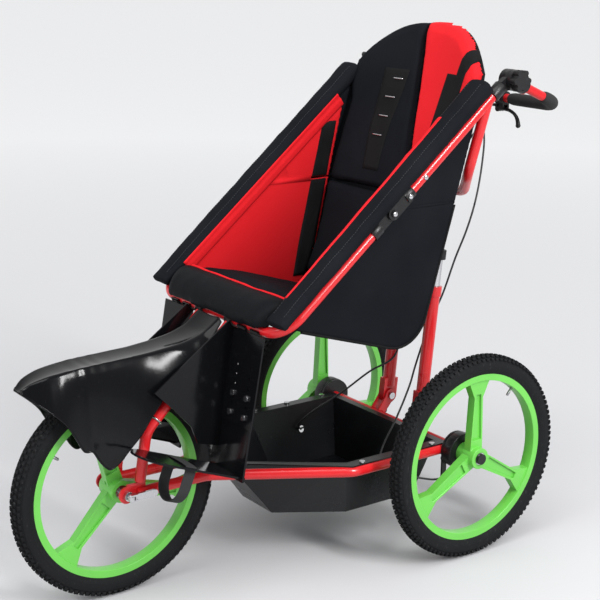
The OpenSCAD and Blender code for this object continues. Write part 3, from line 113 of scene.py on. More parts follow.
sky = bpy.data.worlds.new("studio_sky")
studio.world = sky
sky.use_nodes = True
sky_tree = sky.node_tree
sky_tree.nodes.clear()
rays = put(sky_tree, "ShaderNodeLightPath")
seen = maths(sky_tree, "MAXIMUM", rays.outputs["Is Camera Ray"], rays.outputs["Is Glossy Ray"])
seen = maths(sky_tree, "MAXIMUM", seen, rays.outputs["Is Transmission Ray"])
soft_sky = put(sky_tree, "ShaderNodeBackground", {"Color": (0.97, 0.98, 1.0, 1), "Strength": 0.8})
room = put(sky_tree, "ShaderNodeTexCoord")
bright_side = (-0.8, 0.6, 0.0)
facing_wall = put(sky_tree, "ShaderNodeVectorMath", {0: room.outputs["Generated"], 1: bright_side},
                  operation="DOT_PRODUCT")
wall_light = remap(sky_tree, facing_wall.outputs["Value"], from_min=-0.8, from_max=0.8, to_min=0.3)
wall_light = maths(sky_tree, "MAXIMUM", wall_light, rays.outputs["Is Camera Ray"])
pale_wall = put(sky_tree, "ShaderNodeBackground", {"Color": (0.80, 0.80, 0.80, 1), "Strength": wall_light})
sky_mix = put(sky_tree, "ShaderNodeMixShader", {0: seen, 1: soft_sky.outputs[0], 2: pale_wall.outputs[0]})
put(sky_tree, "ShaderNodeOutputWorld", {0: sky_mix.outputs[0]})

floor_half = 120
floor_mesh = bpy.data.meshes.new("floor")
floor_mesh.from_pydata([(floor_half * x, floor_half * y, 0) for x, y in ((-1, -1), (1, -1), (1, 1), (-1, 1))],
                       [], [(0, 1, 2, 3)])
floor = bpy.data.objects.new("floor", floor_mesh)
studio.collection.objects.link(floor)
floor_paint = bpy.data.materials.new("floor_paint")
floor_paint.use_nodes = True
floor_tree = floor_paint.node_tree
floor_shader = floor_tree.nodes["Principled BSDF"]
floor_shader.inputs["Roughness"].default_value = 0.9
floor_shader.inputs["Specular IOR Level"].default_value = 0.1
floor_place = put(floor_tree, "ShaderNodeTexCoord")
floor_far = put(floor_tree, "ShaderNodeVectorMath", {0: floor_place.outputs["Object"]}, operation="LENGTH")
# Painted shade: the floor's colour is painted darker near the buggy and lighter far off, in place of the
# light's falloff.
painted_floor_shade_mask = remap(floor_tree, floor_far.outputs["Value"], from_min=0.5, from_max=7.0)
painted_floor_shade_tone = mix_colours(floor_tree, painted_floor_shade_mask, (0.46, 0.46, 0.47, 1), (0.70, 0.70, 0.70, 1))
floor_tree.links.new(painted_floor_shade_tone, floor_shader.inputs["Base Color"])
floor_mesh.materials.append(floor_paint)

# Frame tubes
# Round steel tube, bent cold, welded and powder-coated bright red. The side tubes carry the tray, the
# forks carry the front wheel, and the seat loop and back hoop are the same tube.


def group_of(name, inputs, outputs):
    tree = bpy.data.node_groups.new(name, "ShaderNodeTree")
    for label, kind, value in inputs:
        socket = tree.interface.new_socket(name=label, in_out="INPUT", socket_type=kind)
        socket.default_value = value
    for label, kind in outputs:
        tree.interface.new_socket(name=label, in_out="OUTPUT", socket_type=kind)
    return tree, put(tree, "NodeGroupInput").outputs, put(tree, "NodeGroupOutput").inputs


def noise_on(tree, vector, scale, detail):
    return put(tree, "ShaderNodeTexNoise", {"Vector": vector, "Scale": scale, "Detail": detail}).outputs[0]


# Moulded or painted skin: fine grain for the bump, broad patches and faint scuffs for colour and gloss.
skin_tree, skin_in, skin_out = group_of(
    "moulded_skin",
    [("Colour", "NodeSocketColor", (0.5, 0.5, 0.5, 1)), ("Patchiness", "NodeSocketFloat", 0.1),
     ("Roughness", "NodeSocketFloat", 0.4), ("Grain Scale", "NodeSocketFloat", 300.0),
     ("Scuffs", "NodeSocketFloat", 0.1)],
    [("Colour", "NodeSocketColor"), ("Roughness", "NodeSocketFloat"), ("Height", "NodeSocketFloat")])
skin_place = put(skin_tree, "ShaderNodeTexCoord").outputs["Object"]
skin_grain = noise_on(skin_tree, skin_place, skin_in["Grain Scale"], 3.0)
skin_patch = noise_on(skin_tree, skin_place, 9.0, 4.0)
skin_stretch = put(skin_tree, "ShaderNodeMapping", {"Vector": skin_place, "Scale": (30, 170, 60)})
skin_marks = remap(skin_tree, noise_on(skin_tree, skin_stretch.outputs[0], 1.6, 5.0), 0.62, 0.74)
skin_marks = maths(skin_tree, "MULTIPLY", skin_marks, skin_in["Scuffs"])
skin_dark = mix_colours(skin_tree, skin_in["Patchiness"], skin_in["Colour"], (0, 0, 0, 1))
skin_tone = mix_colours(skin_tree, skin_patch, skin_in["Colour"], skin_dark)
skin_tone = mix_colours(skin_tree, skin_marks, skin_tone, (0.55, 0.55, 0.55, 1))
skin_rough = remap(skin_tree, skin_patch, to_min=-0.08, to_max=0.08)
skin_rough = maths(skin_tree, "ADD", skin_rough, skin_in["Roughness"])
skin_rough = maths(skin_tree, "ADD", skin_rough, skin_marks, use_clamp=True)
skin_tree.links.new(skin_tone, skin_out["Colour"])
skin_tree.links.new(skin_rough, skin_out["Roughness"])
skin_tree.links.new(skin_grain, skin_out["Height"])


def finish_of(name, group, values, depth, relief, shader):
    """A material: one node group's colour, roughness and height, and the shader's plain values."""
    finish = bpy.data.materials.new(name)
    finish.use_nodes = True
    tree = finish.node_tree
    bsdf = tree.nodes["Principled BSDF"]
    surface = put(tree, "ShaderNodeGroup", values, node_tree=group).outputs
    bump = put(tree, "ShaderNodeBump", {"Height": surface["Height"], "Strength": depth, "Distance": relief})
    tree.links.new(surface["Colour"], bsdf.inputs["Base Color"])
    tree.links.new(surface["Roughness"], bsdf.inputs["Roughness"])
    tree.links.new(bump.outputs[0], bsdf.inputs["Normal"])
    for label, value in shader.items():
        bsdf.inputs[label.replace("_", " ")].default_value = value
    return finish


def skin_finish(name, colour, roughness, grain=300.0, depth=0.08, patchiness=0.2, scuffs=0.08, **shader):
    values = {"Colour": (*colour, 1), "Patchiness": patchiness, "Roughness": roughness, "Grain Scale": grain,
              "Scuffs": scuffs}
    return finish_of(name, skin_tree, values, depth, 0.002, shader)


def dress(node, finish, bevel=0.0, steps=2, angle=35):
    """A CAD node keeps its shape and takes a finish, and its sharp edges a small radius."""
    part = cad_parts[node]
    part.data.materials.clear()
    part.data.materials.append(finish)
    if bevel:
        weld = part.modifiers.new("weld", "WELD")
        weld.merge_threshold = 0.00002
        edge = part.modifiers.new("edge_radius", "BEVEL")
        edge.width = bevel
        edge.segments = steps
        edge.limit_method = "ANGLE"
        edge.angle_limit = math.radians(angle)
        edge.use_clamp_overlap = True
        edge.harden_normals = True


tube_red, tube_roughness = (0.58, 0.010, 0.014), 0.3
red_powder_coat = skin_finish("red_powder_coat", tube_red, tube_roughness, grain=260, depth=0.02,
                              patchiness=0.12, scuffs=0.05, Coat_Weight=0.4, Coat_Roughness=0.12,
                              Specular_IOR_Level=0.3)
for node in ("axle_tube", "frame_side_left", "frame_side_right", "fork_left", "fork_right", "seat_loop",
             "back_hoop", "strut_tubes"):
    dress(node, red_powder_coat)
for node in ("fork_dropouts", "strut_brackets"):
    dress(node, red_powder_coat, bevel=0.001)

# Axles, bolts and strut rods
# Bright turned steel: the front axle with its quick-release lever, the rods that slide in the strut
# tubes, and the round-headed bolts that hold panels and pivots.
bright_steel = skin_finish("bright_steel", (0.62, 0.62, 0.64), 0.24, grain=900, depth=0.04, patchiness=0.15,
                           scuffs=0.12, Metallic=1.0)
for node in ("front_axle", "strut_rods", "front_bearings", "rear_bearings_left", "rear_bearings_right"):
    dress(node, bright_steel)
for node in ("quick_release_lever", "panel_bolts", "strut_pivot_bolts"):
    dress(node, bright_steel, bevel=0.0012)

# Hinges, clamps and brakes
# Cast and pressed steel in satin black: rear axles, brake drums with their plates and arms, the seat's
# pivot clamps and fold hinges, the handle's necks and the lever perches. Each hinge has three bolts.
satin_black = skin_finish("satin_black", (0.008, 0.008, 0.009), 0.36, grain=420, depth=0.08, patchiness=0.2,
                          scuffs=0.04, Specular_IOR_Level=0.35)
for node in ("rear_axles", "brake_plates", "brake_arm_left", "brake_arm_right", "brake_drum_left",
             "brake_drum_right", "seat_pivot_clamps", "hinge_lower", "hinge_upper", "handle_necks",
             "lever_perches"):
    dress(node, satin_black, bevel=0.0012)

SIDES = (("left", 1), ("right", -1))
ORIGIN = Vector((0, 0.38375, 0))
HINGE_Y, SPLIT_Z = -240.3, 866.6


def at(x, y, z):
    """A place given in millimetres from the middle of the rear axle, on the ground."""
    return Vector((x, y, z)) / 1000 + ORIGIN


def spread(first, last, steps):
    """Evenly spaced values from the first to the last."""
    return [first + (last - first) * k / steps for k in range(steps + 1)]


def oval(wide, high, sides):
    return [(wide * math.cos(a), high * math.sin(a)) for a in spread(0, 2 * math.pi, sides)[:-1]]


def new_piece(name, verts, faces, sharp=None):
    """A smooth piece whose edges stay sharp past an angle, where one is given."""
    mesh = bpy.data.meshes.new(name)
    mesh.from_pydata([tuple(v) for v in verts], [], faces)
    mesh.validate()
    form = bmesh.new()
    form.from_mesh(mesh)
    bmesh.ops.recalc_face_normals(form, faces=form.faces)
    form.to_mesh(mesh)
    form.free()
    for face in mesh.polygons:
        face.use_smooth = True
    if sharp:
        mesh.set_sharp_from_angle(angle=math.radians(sharp))
    piece = bpy.data.objects.new(name, mesh)
    studio.collection.objects.link(piece)
    return piece


def loft_faces(rows, m, closed=False):
    """Faces of a tube with rows of m points: closed into a ring, or capped at both ends."""
    faces = []
    for i in range(rows if closed else rows - 1):
        n = (i + 1) % rows
        faces += [(i * m + j, i * m + (j + 1) % m, n * m + (j + 1) % m, n * m + j) for j in range(m)]
    return faces if closed else faces + [tuple(range(m)), tuple(range((rows - 1) * m, rows * m))]


def sweep(path, section, closed=False):
    """Vertices and faces of a section, a list of (sideways, outward) pairs, carried along a path."""
    count, verts = len(path), []
    tangent = [(path[min(i + 1, count - 1)] - path[max(i - 1, 0)]).normalized() for i in range(count)]
    if closed:
        tangent = [(path[(i + 1) % count] - path[i - 1]).normalized() for i in range(count)]
    side = tangent[0].orthogonal().normalized()
    for i in range(count):
        side = (side - side.dot(tangent[i]) * tangent[i]).normalized()
        outward = tangent[i].cross(side)
        verts += [path[i] + side * s + outward * o for s, o in section]
    return verts, loft_faces(count, len(section), closed)


def tube_form(path, radius, sides=10, closed=False):
    """A round tube's vertices and faces; the radius is one number, or a list of one for each point."""
    radii = radius if isinstance(radius, list) else [radius] * len(path)
    verts, faces = sweep(path, oval(1.0, 1.0, sides), closed)
    return [path[i // sides] + (v - path[i // sides]) * radii[i // sides] for i, v in enumerate(verts)], faces


def new_tube(name, path, radius, sides=10, closed=False):
    return new_piece(name, *tube_form(path, radius, sides, closed))


def fit(piece, finish, body, slot, *nodes):
    """A piece takes its material, rides on its body and stands for its nodes."""
    piece.data.materials.clear()
    piece.data.materials.append(finish)
    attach(piece, body)
    if nodes:
        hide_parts(*nodes)


hinge_bolts = (("lower", "seat_frame", 265.3, HINGE_Y, SPLIT_Z),
               ("upper", "back_frame", 266.6, -197.5, 902.5),
               ("rear", "back_frame", 262.6, -150.7, 941.3))
head_rise, head_radius = (-0.4, 1.2, 2.4, 3.0), [0.0062, 0.0062, 0.0048, 0.0016]
for side, sign in SIDES:
    for label, body, x, y, z in hinge_bolts:
        head_line = [at(sign * (x + rise), y, z) for rise in head_rise]
        fit(new_tube(f"hinge_bolt_{label}_{side}", head_line, head_radius, 20), bright_steel, body, "steel")

# Wheels
# Three-spoke wheels moulded in one shot of glass-filled nylon, bright green all through, with ribs
# along the spokes' edges and ball bearings pressed into the hub.
green_nylon = skin_finish("green_nylon", (0.13, 0.52, 0.065), 0.34, grain=350, depth=0.06, patchiness=0.22,
                          scuffs=0.04, Coat_Weight=0.25, Coat_Roughness=0.25)
for node in ("front_wheel", "rear_wheel_left", "rear_wheel_right"):
    dress(node, green_nylon, bevel=0.0018, steps=3)

# Tyres
# Black butyl rubber, 20 by 1.75 inches, with rows of square tread blocks and plain ribbed walls. Each
# inner tube's valve stands through the rim and ends in a small dust cap.
tyre_rubber = skin_finish("tyre_rubber", (0.008, 0.0085, 0.0095), 0.72, grain=700, depth=0.25,
                          patchiness=0.35, scuffs=0.04, Specular_IOR_Level=0.16)
valve_metal = skin_finish("valve_metal", (0.33, 0.33, 0.34), 0.35, grain=900, depth=0.05, Metallic=0.9)
wheelbase, half_track, axle_height = 812, 304, 254
tyre_wall = [(-11.5, 202), (-14.2, 207), (-17.5, 212.5), (-20.2, 219), (-21.0, 222), (-20.6, 222.6),
             (-21.3, 226), (-21.2, 231), (-20.3, 236.5), (-20.0, 238), (-19.4, 238.2), (-17.6, 242.5),
             (-14, 246.3), (-9, 248.6), (-4, 249.6), (0, 249.9)]
tyre_wall += [(-x, r) for x, r in reversed(tyre_wall[:-1])]
tyre_turns = 120
tread_rows = ((-17.2, 244.2, 60, 6.2, 8.6), (-9.3, 249.0, 18, 6.6, 9.4), (0, 250.0, 0, 6.4, 8.8),
              (9.3, 249.0, -18, 6.6, 9.4), (17.2, 244.2, -60, 6.2, 8.6))
tread_count = 104
tread_rings = ((-1.2, 1.0), (3.3, 0.92), (4.0, 0.74))
valve_rings = ((205, 4.2), (199, 4.2), (197, 3.0), (184, 2.8), (183, 3.4), (172, 3.4), (170, 2.4))
valve_sides = 12


def new_tyre(name, centre):
    verts = []
    for a in spread(0, 2 * math.pi, tyre_turns)[:-1]:
        verts += [Vector((x, r * math.cos(a), r * math.sin(a))) / 1000 + centre for x, r in tyre_wall]
    faces = loft_faces(tyre_turns, len(tyre_wall), closed=True)
    for row, (x, r, lean, wide, long) in enumerate(tread_rows):
        lean = math.radians(lean)
        up, over = Vector((-math.sin(lean), math.cos(lean))), Vector((math.cos(lean), math.sin(lean)))
        for i in range(tread_count):
            a = 2 * math.pi * (i + 0.5 * (row % 2)) / tread_count
            first = len(verts)
            for height, size in tread_rings:
                for su, sv in ((-1, -1), (1, -1), (1, 1), (-1, 1)):
                    p = Vector((x, r)) + up * height + over * (su * wide / 2 * size)
                    b = a + sv * long / 2 * size / r
                    verts.append(Vector((p.x, p.y * math.cos(b), p.y * math.sin(b))) / 1000 + centre)
            for ring in (first, first + 4):
                faces += [(ring + j, ring + (j + 1) % 4, ring + 4 + (j + 1) % 4, ring + 4 + j)
                          for j in range(4)]
            faces.append(tuple(first + 8 + j for j in range(4)))
    return new_piece(name, verts, faces, sharp=40)


def new_valve(name, centre, angle):
    out, side = Vector((0, math.cos(angle), math.sin(angle))), Vector((1, 0, 0))
    front, verts = side.cross(out), []
    for r, w in valve_rings:
        verts += [centre + out * r / 1000 + (side * u + front * v) / 1000 for u, v in oval(w, w, valve_sides)]
    return new_piece(name, verts, loft_faces(len(valve_rings), valve_sides), sharp=40)


for body, node, x, y, valve_turn in (("front_wheel", "front_tyre", 0, -wheelbase, 145),
                                     ("rear_wheel_left", "rear_tyre_left", half_track, 0, 52),
                                     ("rear_wheel_right", "rear_tyre_right", -half_track, 0, 52)):
    centre = at(x, y, axle_height)
    tyre = new_tyre(node.replace("tyre", "knobbly_tyre"), centre)
    fit(tyre, tyre_rubber, body, "tyre_black", node)
    valve = new_valve(node.replace("tyre", "valve"), centre, math.radians(valve_turn))
    fit(valve, valve_metal, body, "steel")

# Storage tray, calf panels and footplates
# Black plastic sheet, vacuum formed over wooden moulds, so every corner has a radius. Bolts hold the
# tray's lip to the side tubes and the footplates to the calf panels' rows of holes.
gloss_sheet = skin_finish("gloss_sheet", (0.0035, 0.0037, 0.0045), 0.14, grain=160, depth=0.03,
                          patchiness=0.2, scuffs=0.006, Specular_IOR_Level=0.18)
tray_sheet = skin_finish("tray_sheet", (0.006, 0.0065, 0.008), 0.3, grain=240, depth=0.08, patchiness=0.2,
                         scuffs=0.02, Specular_IOR_Level=0.35)
dress("storage_tray", tray_sheet, bevel=0.006, steps=3, angle=20)
for node in ("calf_panel_left", "calf_panel_right"):
    dress(node, gloss_sheet, bevel=0.0015, angle=20)
dress("foot_plates", gloss_sheet, bevel=0.0016, angle=30)

# Mudguard
# One glossy sheet of black plastic drawn over a mould: a narrow saddle over the front wheel with a deep
# flap each side, rolled over at its hem. A steel clip holds it to the fork.
guard_t, guard_crest, guard_hollow = 3, 0.38, 3
CROSS_TUBE = (-535, 622)
# Each station: how far ahead of the seat's front cross tube, crest height, half width at the shoulder and
# at the hem, and the hem's height.
guard_stations = [(505, 530, 14, 20, 523), (487, 543, 22, 36, 508), (460, 552, 29, 54, 486),
                  (440, 556, 32, 61, 468), (423, 558, 34, 66, 449), (405, 560, 35, 69, 418),
                  (391, 561, 36, 71, 391), (381, 562, 36, 72, 385), (369, 563, 37, 73, 384),
                  (357, 563, 37, 74, 365), (345, 564, 37, 76, 348), (332, 564, 37, 78, 337),
                  (318, 565, 37, 78, 340), (303, 565, 37, 78, 351), (280, 566, 37, 77, 373),
                  (251, 567, 37, 76, 400), (225, 568, 37, 75, 434), (200, 570, 38, 74, 464),
                  (170, 573, 38, 74, 495), (135, 577, 39, 73, 527), (105, 583, 39, 71, 553),
                  (85, 589, 40, 67, 568), (65, 597, 40, 62, 578.2), (45, 611, 40, 57, 599.5),
                  (28, 624, 39, 52, 617)]
guard_half, guard_fine = 22, 3


def smooth_route(points, steps):
    """A curve through all the points, with a number of steps between each two."""
    route = []
    for i in range(len(points) - 1):
        a, b = points[max(i - 1, 0)], points[i]
        c, d = points[i + 1], points[min(i + 2, len(points) - 1)]
        for k in range(steps):
            t = k / steps
            route.append(0.5 * (2 * b + (c - a) * t + (2 * a - 5 * b + 4 * c - d) * t * t
                                + (3 * b - a - 3 * c + d) * t * t * t))
    return route + [points[-1].copy()]


def sheet_rim(rows, m):
    return (list(range(m)) + [i * m + m - 1 for i in range(1, rows)]
            + [(rows - 1) * m + j for j in range(m - 2, -1, -1)] + [i * m for i in range(rows - 2, 0, -1)])


def sheet_faces(rows, m):
    """Faces of a thin sheet: two layers with rows of m points, joined all round the rim."""
    base, rim, faces = rows * m, sheet_rim(rows, m), []
    for i in range(rows - 1):
        for j in range(m - 1):
            quad = (i * m + j, i * m + j + 1, (i + 1) * m + j + 1, (i + 1) * m + j)
            faces += [quad, tuple(base + k for k in reversed(quad))]
    return faces + [(rim[k - 1], rim[k], base + rim[k], base + rim[k - 1]) for k in range(len(rim))]


def guard_point(station, u, inset):
    ahead, top, shoulder, hem, low = station
    side, size, y = (1 if u >= 0 else -1), abs(u), CROSS_TUBE[0] - ahead
    if size < guard_crest:
        return at(side * (shoulder - inset) * size / guard_crest, y,
                  top - guard_hollow * (1 - (size / guard_crest) ** 2) - inset)
    down = (size - guard_crest) / (1 - guard_crest)
    return at(side * (shoulder - inset + (hem - shoulder) * down ** 0.8), y,
              top + (low - top) * down ** 1.15 - inset)


guard_rows, guard_m = (len(guard_stations) - 1) * guard_fine + 1, 2 * guard_half + 1
guard_verts = []
for inset in (0, guard_t):
    columns = [smooth_route([guard_point(g, j / guard_half, inset) for g in guard_stations], guard_fine)
               for j in range(-guard_half, guard_half + 1)]
    guard_verts += [columns[j][i] for i in range(guard_rows) for j in range(guard_m)]
mudguard = new_piece("mudguard_shell", guard_verts, sheet_faces(guard_rows, guard_m), sharp=50)
fit(mudguard, gloss_sheet, "chassis", "gloss_black", "mudguard")
guard_base = guard_rows * guard_m
guard_edge = [(guard_verts[k] + guard_verts[guard_base + k]) / 2 for k in sheet_rim(guard_rows, guard_m)]
bead_radius = 0.0024
fit(new_tube("mudguard_bead", guard_edge, bead_radius, closed=True), gloss_sheet, "chassis", "gloss_black")

fork_knee, fork_top = at(56, -763, 395), at(60, *CROSS_TUBE)
fork_way = (fork_top - fork_knee).normalized()
clip_across = fork_way.cross(Vector((1, 0, 0))).normalized()
clip_mid, clip_radius, clip_wire = fork_knee + fork_way * 0.034, 0.0138, 0.0024
for side, sign in SIDES:
    clip_ring = [(clip_mid + Vector((1, 0, 0)) * u + clip_across * v) * Vector((sign, 1, 1))
                 for u, v in oval(clip_radius, clip_radius, 32)]
    fit(new_tube(f"guard_clip_{side}", clip_ring, clip_wire, closed=True), bright_steel, "chassis", "steel")

# Strut collars and handle knobs
# Moulded matt black nylon. The collars clamp the rods in the strut tubes, and the knobs lock the toothed
# knuckles of the handle.
matt_nylon = skin_finish("matt_nylon", (0.009, 0.009, 0.010), 0.5, grain=500, depth=0.12, patchiness=0.2,
                         scuffs=0.03, Specular_IOR_Level=0.3)
for node in ("strut_collars", "knuckle_knobs"):
    dress(node, matt_nylon, bevel=0.0015, steps=3)

# Seat bucket
# A sling of coated pack cloth over thin foam, cut as one base and two side panels, sewn inside out and
# hung on the rails. A cord is sewn into the seams that run round its lower and rear edges.
weave_tree, weave_in, weave_out = group_of(
    "woven_cloth",
    [("Colour", "NodeSocketColor", (0.1, 0.1, 0.1, 1)), ("Threads", "NodeSocketFloat", 2800.0),
     ("Fade", "NodeSocketFloat", 0.3), ("Roughness", "NodeSocketFloat", 0.8)],
    [("Colour", "NodeSocketColor"), ("Roughness", "NodeSocketFloat"), ("Height", "NodeSocketFloat")])
weave_place = put(weave_tree, "ShaderNodeTexCoord").outputs["Object"]
weave_axes = put(weave_tree, "ShaderNodeSeparateXYZ", {0: weave_place}).outputs
threads = []
for axis, slant in (("X", 0.8), ("Y", -0.6)):
    along = maths(weave_tree, "MULTIPLY_ADD", weave_axes["Z"], slant, weave_axes[axis])
    threads.append(maths(weave_tree, "SINE", maths(weave_tree, "MULTIPLY", along, weave_in["Threads"])))
crossing = remap(weave_tree, maths(weave_tree, "MULTIPLY", *threads), from_min=-1.0)
weave_patch = noise_on(weave_tree, weave_place, 7.0, 5.0)
weave_slub = noise_on(weave_tree, weave_place, 420.0, 2.0)
weave_worn = mix_colours(weave_tree, weave_in["Fade"], weave_in["Colour"], (0.32, 0.33, 0.36, 1))
weave_worn = mix_colours(weave_tree, 0.25, weave_in["Colour"], weave_worn)
weave_mask = remap(weave_tree, weave_patch, 0.35, 0.75)
weave_tone = mix_colours(weave_tree, weave_mask, weave_in["Colour"], weave_worn)
# Painted shade and highlight: the hollows between threads are painted darker, and the thread tops keep the
# full colour as if catching light.
weave_hollow_shade = mix_colours(weave_tree, 0.3, weave_tone, (0, 0, 0, 1))
weave_tone = mix_colours(weave_tree, crossing, weave_hollow_shade, weave_tone)
weave_rough = remap(weave_tree, weave_slub, to_min=-0.1, to_max=0.1)
weave_rough = maths(weave_tree, "ADD", weave_rough, weave_in["Roughness"], use_clamp=True)
weave_tree.links.new(weave_tone, weave_out["Colour"])
weave_tree.links.new(weave_rough, weave_out["Roughness"])
weave_tree.links.new(maths(weave_tree, "MULTIPLY_ADD", weave_slub, 0.5, crossing), weave_out["Height"])


def cloth_finish(name, colour, threads=2800.0, fade=0.2, roughness=0.8, depth=0.35, **shader):
    values = {"Colour": (*colour, 1), "Threads": threads, "Fade": fade, "Roughness": roughness}
    return finish_of(name, weave_tree, values, depth, 0.0006, shader)


def settle(piece):
    """A piece's modifiers become its mesh."""
    plain, name = piece.data, piece.name
    bpy.context.view_layer.update()
    piece.data = bpy.data.meshes.new_from_object(piece.evaluated_get(bpy.context.evaluated_depsgraph_get()))
    piece.modifiers.clear()
    bpy.data.meshes.remove(plain)
    piece.data.name = name
    for face in piece.data.polygons:
        face.use_smooth = True


def even_out(piece, voxel, relax):
    """One even skin of small faces, so that the cover can swell and crease."""
    even = piece.modifiers.new("even", "REMESH")
    even.mode = "VOXEL"
    even.voxel_size = voxel
    ease = piece.modifiers.new("ease", "SMOOTH")
    ease.factor = 0.5
    ease.iterations = relax
    settle(piece)


def cover_of(node, name, relax):
    """The cover that is sewn over a node's solid."""
    form = bmesh.new()
    form.from_mesh(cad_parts[node].data)
    bmesh.ops.remove_doubles(form, verts=form.verts, dist=0.00002)
    mesh = bpy.data.meshes.new(name)
    form.to_mesh(mesh)
    form.free()
    piece = bpy.data.objects.new(name, mesh)
    studio.collection.objects.link(piece)
    even_out(piece, 0.005, relax)
    return piece


def free_share(normal, free):
    """How much of a pad's skin may move: all of it, or only the side that faces the free direction."""
    return 1.0 if free is None else min(1.0, max(0.0, 2 * normal.dot(free) - 0.4))


def stuff(piece, pressure, cap, free=None):
    """The cover swells over its filling as cloth under pressure, and no point moves further than the cap."""
    start = [(v.co.copy(), free_share(v.normal, free)) for v in piece.data.vertices]
    cover = piece.modifiers.new("cover", "CLOTH")
    cover.settings.quality = 4
    cover.settings.use_pressure = True
    cover.settings.uniform_pressure_force = pressure
    cover.settings.effector_weights.gravity = 0
    for step in range(1, 13):
        studio.frame_set(step)
    swollen = piece.evaluated_get(bpy.context.evaluated_depsgraph_get()).data
    moved = [v.co.copy() for v in swollen.vertices]
    piece.modifiers.clear()
    for v, (old, share), new in zip(piece.data.vertices, start, moved):
        step = new - old
        v.co = old + share * (step if step.length <= cap else step * (cap / step.length))
    studio.frame_set(1)


def crease(piece, depth, size, seed, free=None):
    """Shallow puckers and creases, as foam and cloth have after use."""
    for v, normal in [(v, v.normal.copy()) for v in piece.data.vertices]:
        p = v.co / size + Vector((seed, 2.3 * seed, -seed))
        fold = abs(noise.noise(p * 1.3 + Vector((9, 4, 1))))
        wave = noise.noise(p) + 0.5 * noise.noise(p * 2.1) - fold * 0.8
        v.co += normal * depth * wave * free_share(normal, free)


pack_cloth = cloth_finish("pack_cloth", (0.006, 0.007, 0.0095), fade=0.04, roughness=0.78,
                          Specular_IOR_Level=0.06)
black_tape = cloth_finish("black_tape", (0.006, 0.006, 0.0065), threads=3600.0, fade=0.05,
                          Specular_IOR_Level=0.12)
BACK_LEAN, BASE_SLOPE, RAIL_RISE = math.radians(16.3), math.radians(16.8), math.radians(39.7)
BUCKET_ROUND, WELT_X = 85, 230


def back_line(z):
    return -35 + (z - 846) * math.tan(BACK_LEAN)


def base_line(y):
    return 622.5 - (y + 480) * math.tan(BASE_SLOPE)


def rail(s, up, x):
    """A place beside the rails: along them from the front cross tube, above their line, and sideways."""
    return (x, CROSS_TUBE[0] + s * math.cos(RAIL_RISE) - up * math.sin(RAIL_RISE),
            CROSS_TUBE[1] + s * math.sin(RAIL_RISE) + up * math.cos(RAIL_RISE))


seat_bucket = cover_of("seat_shell", "seat_bucket", 3)
crease(seat_bucket, 0.0012, 0.11, 3.1)
fit(seat_bucket, pack_cloth, "seat_frame", "black_fabric", "seat_shell")
bucket_turn = math.pi / 2 + BASE_SLOPE - BACK_LEAN
bucket_corner = back_line(base_line(0)) / (1 + math.tan(BASE_SLOPE) * math.tan(BACK_LEAN))
bucket_reach = BUCKET_ROUND * math.tan(bucket_turn / 2)
bucket_mid = (bucket_corner - bucket_reach * math.cos(BASE_SLOPE) + BUCKET_ROUND * math.sin(BASE_SLOPE),
              base_line(bucket_corner) + bucket_reach * math.sin(BASE_SLOPE)
              + BUCKET_ROUND * math.cos(BASE_SLOPE))
bucket_edge = [(y, base_line(y)) for y in (-470, -400, -320, -240)]
for turn in spread(-math.pi / 2 - BASE_SLOPE, bucket_turn - math.pi / 2 - BASE_SLOPE, 5):
    bucket_edge.append((bucket_mid[0] + BUCKET_ROUND * math.cos(turn),
                        bucket_mid[1] + BUCKET_ROUND * math.sin(turn)))
bucket_edge += [(back_line(z), z) for z in (700, 780, 862)]
for side, sign in SIDES:
    welt_line = smooth_route([at(sign * WELT_X, y, z) for y, z in bucket_edge], 8)
    fit(new_tube(f"seat_welt_{side}", welt_line, 0.0034), black_tape, "seat_frame", "black_fabric")

# Seat cushion, lumbar pad and front roll
# Foam pads in the same cloth. The cushion and the lumbar pad lie loose in the bucket; the front roll is
# wipe-clean vinyl that hangs over the front cross tube, with a red cord in its rear seam.


def skin_of(piece):
    mesh = piece.data
    return BVHTree.FromPolygons([v.co for v in mesh.vertices], [p.vertices for p in mesh.polygons])


def touch(skin, point, toward):
    """Where a line through a point meets the facing side of a skin, or else the nearest place on it."""
    if toward is None:
        return skin.find_nearest(point)[:2]
    hit, normal, face, far = skin.ray_cast(point - toward * 0.3, toward)
    if hit is None:
        hit, normal, face, far = skin.find_nearest(point)
    return hit, (normal if normal.dot(toward) < 0 else -normal)


def line_on(skin, points, toward, lift):
    """A line laid along a skin, a little above it."""
    return [hit + normal * lift for hit, normal in [touch(skin, p, toward) for p in points]]


for node, name, cap, depth, seed, free, fill in (
        ("seat_cushion", "seat_cushion_cover", 0.006, 0.002, 1.7, Vector((0, 0, 1)), 0.7),
        ("lumbar_pad", "lumbar_cover", 0.005, 0.0016, 5.2, Vector((0, -1, 0)), 0.6)):
    pad = cover_of(node, name, 6)
    stuff(pad, 4.0, cap, free)
    crease(pad, depth, 0.10, seed, free)
    fit(pad, pack_cloth, "seat_frame", "black_fabric", node)

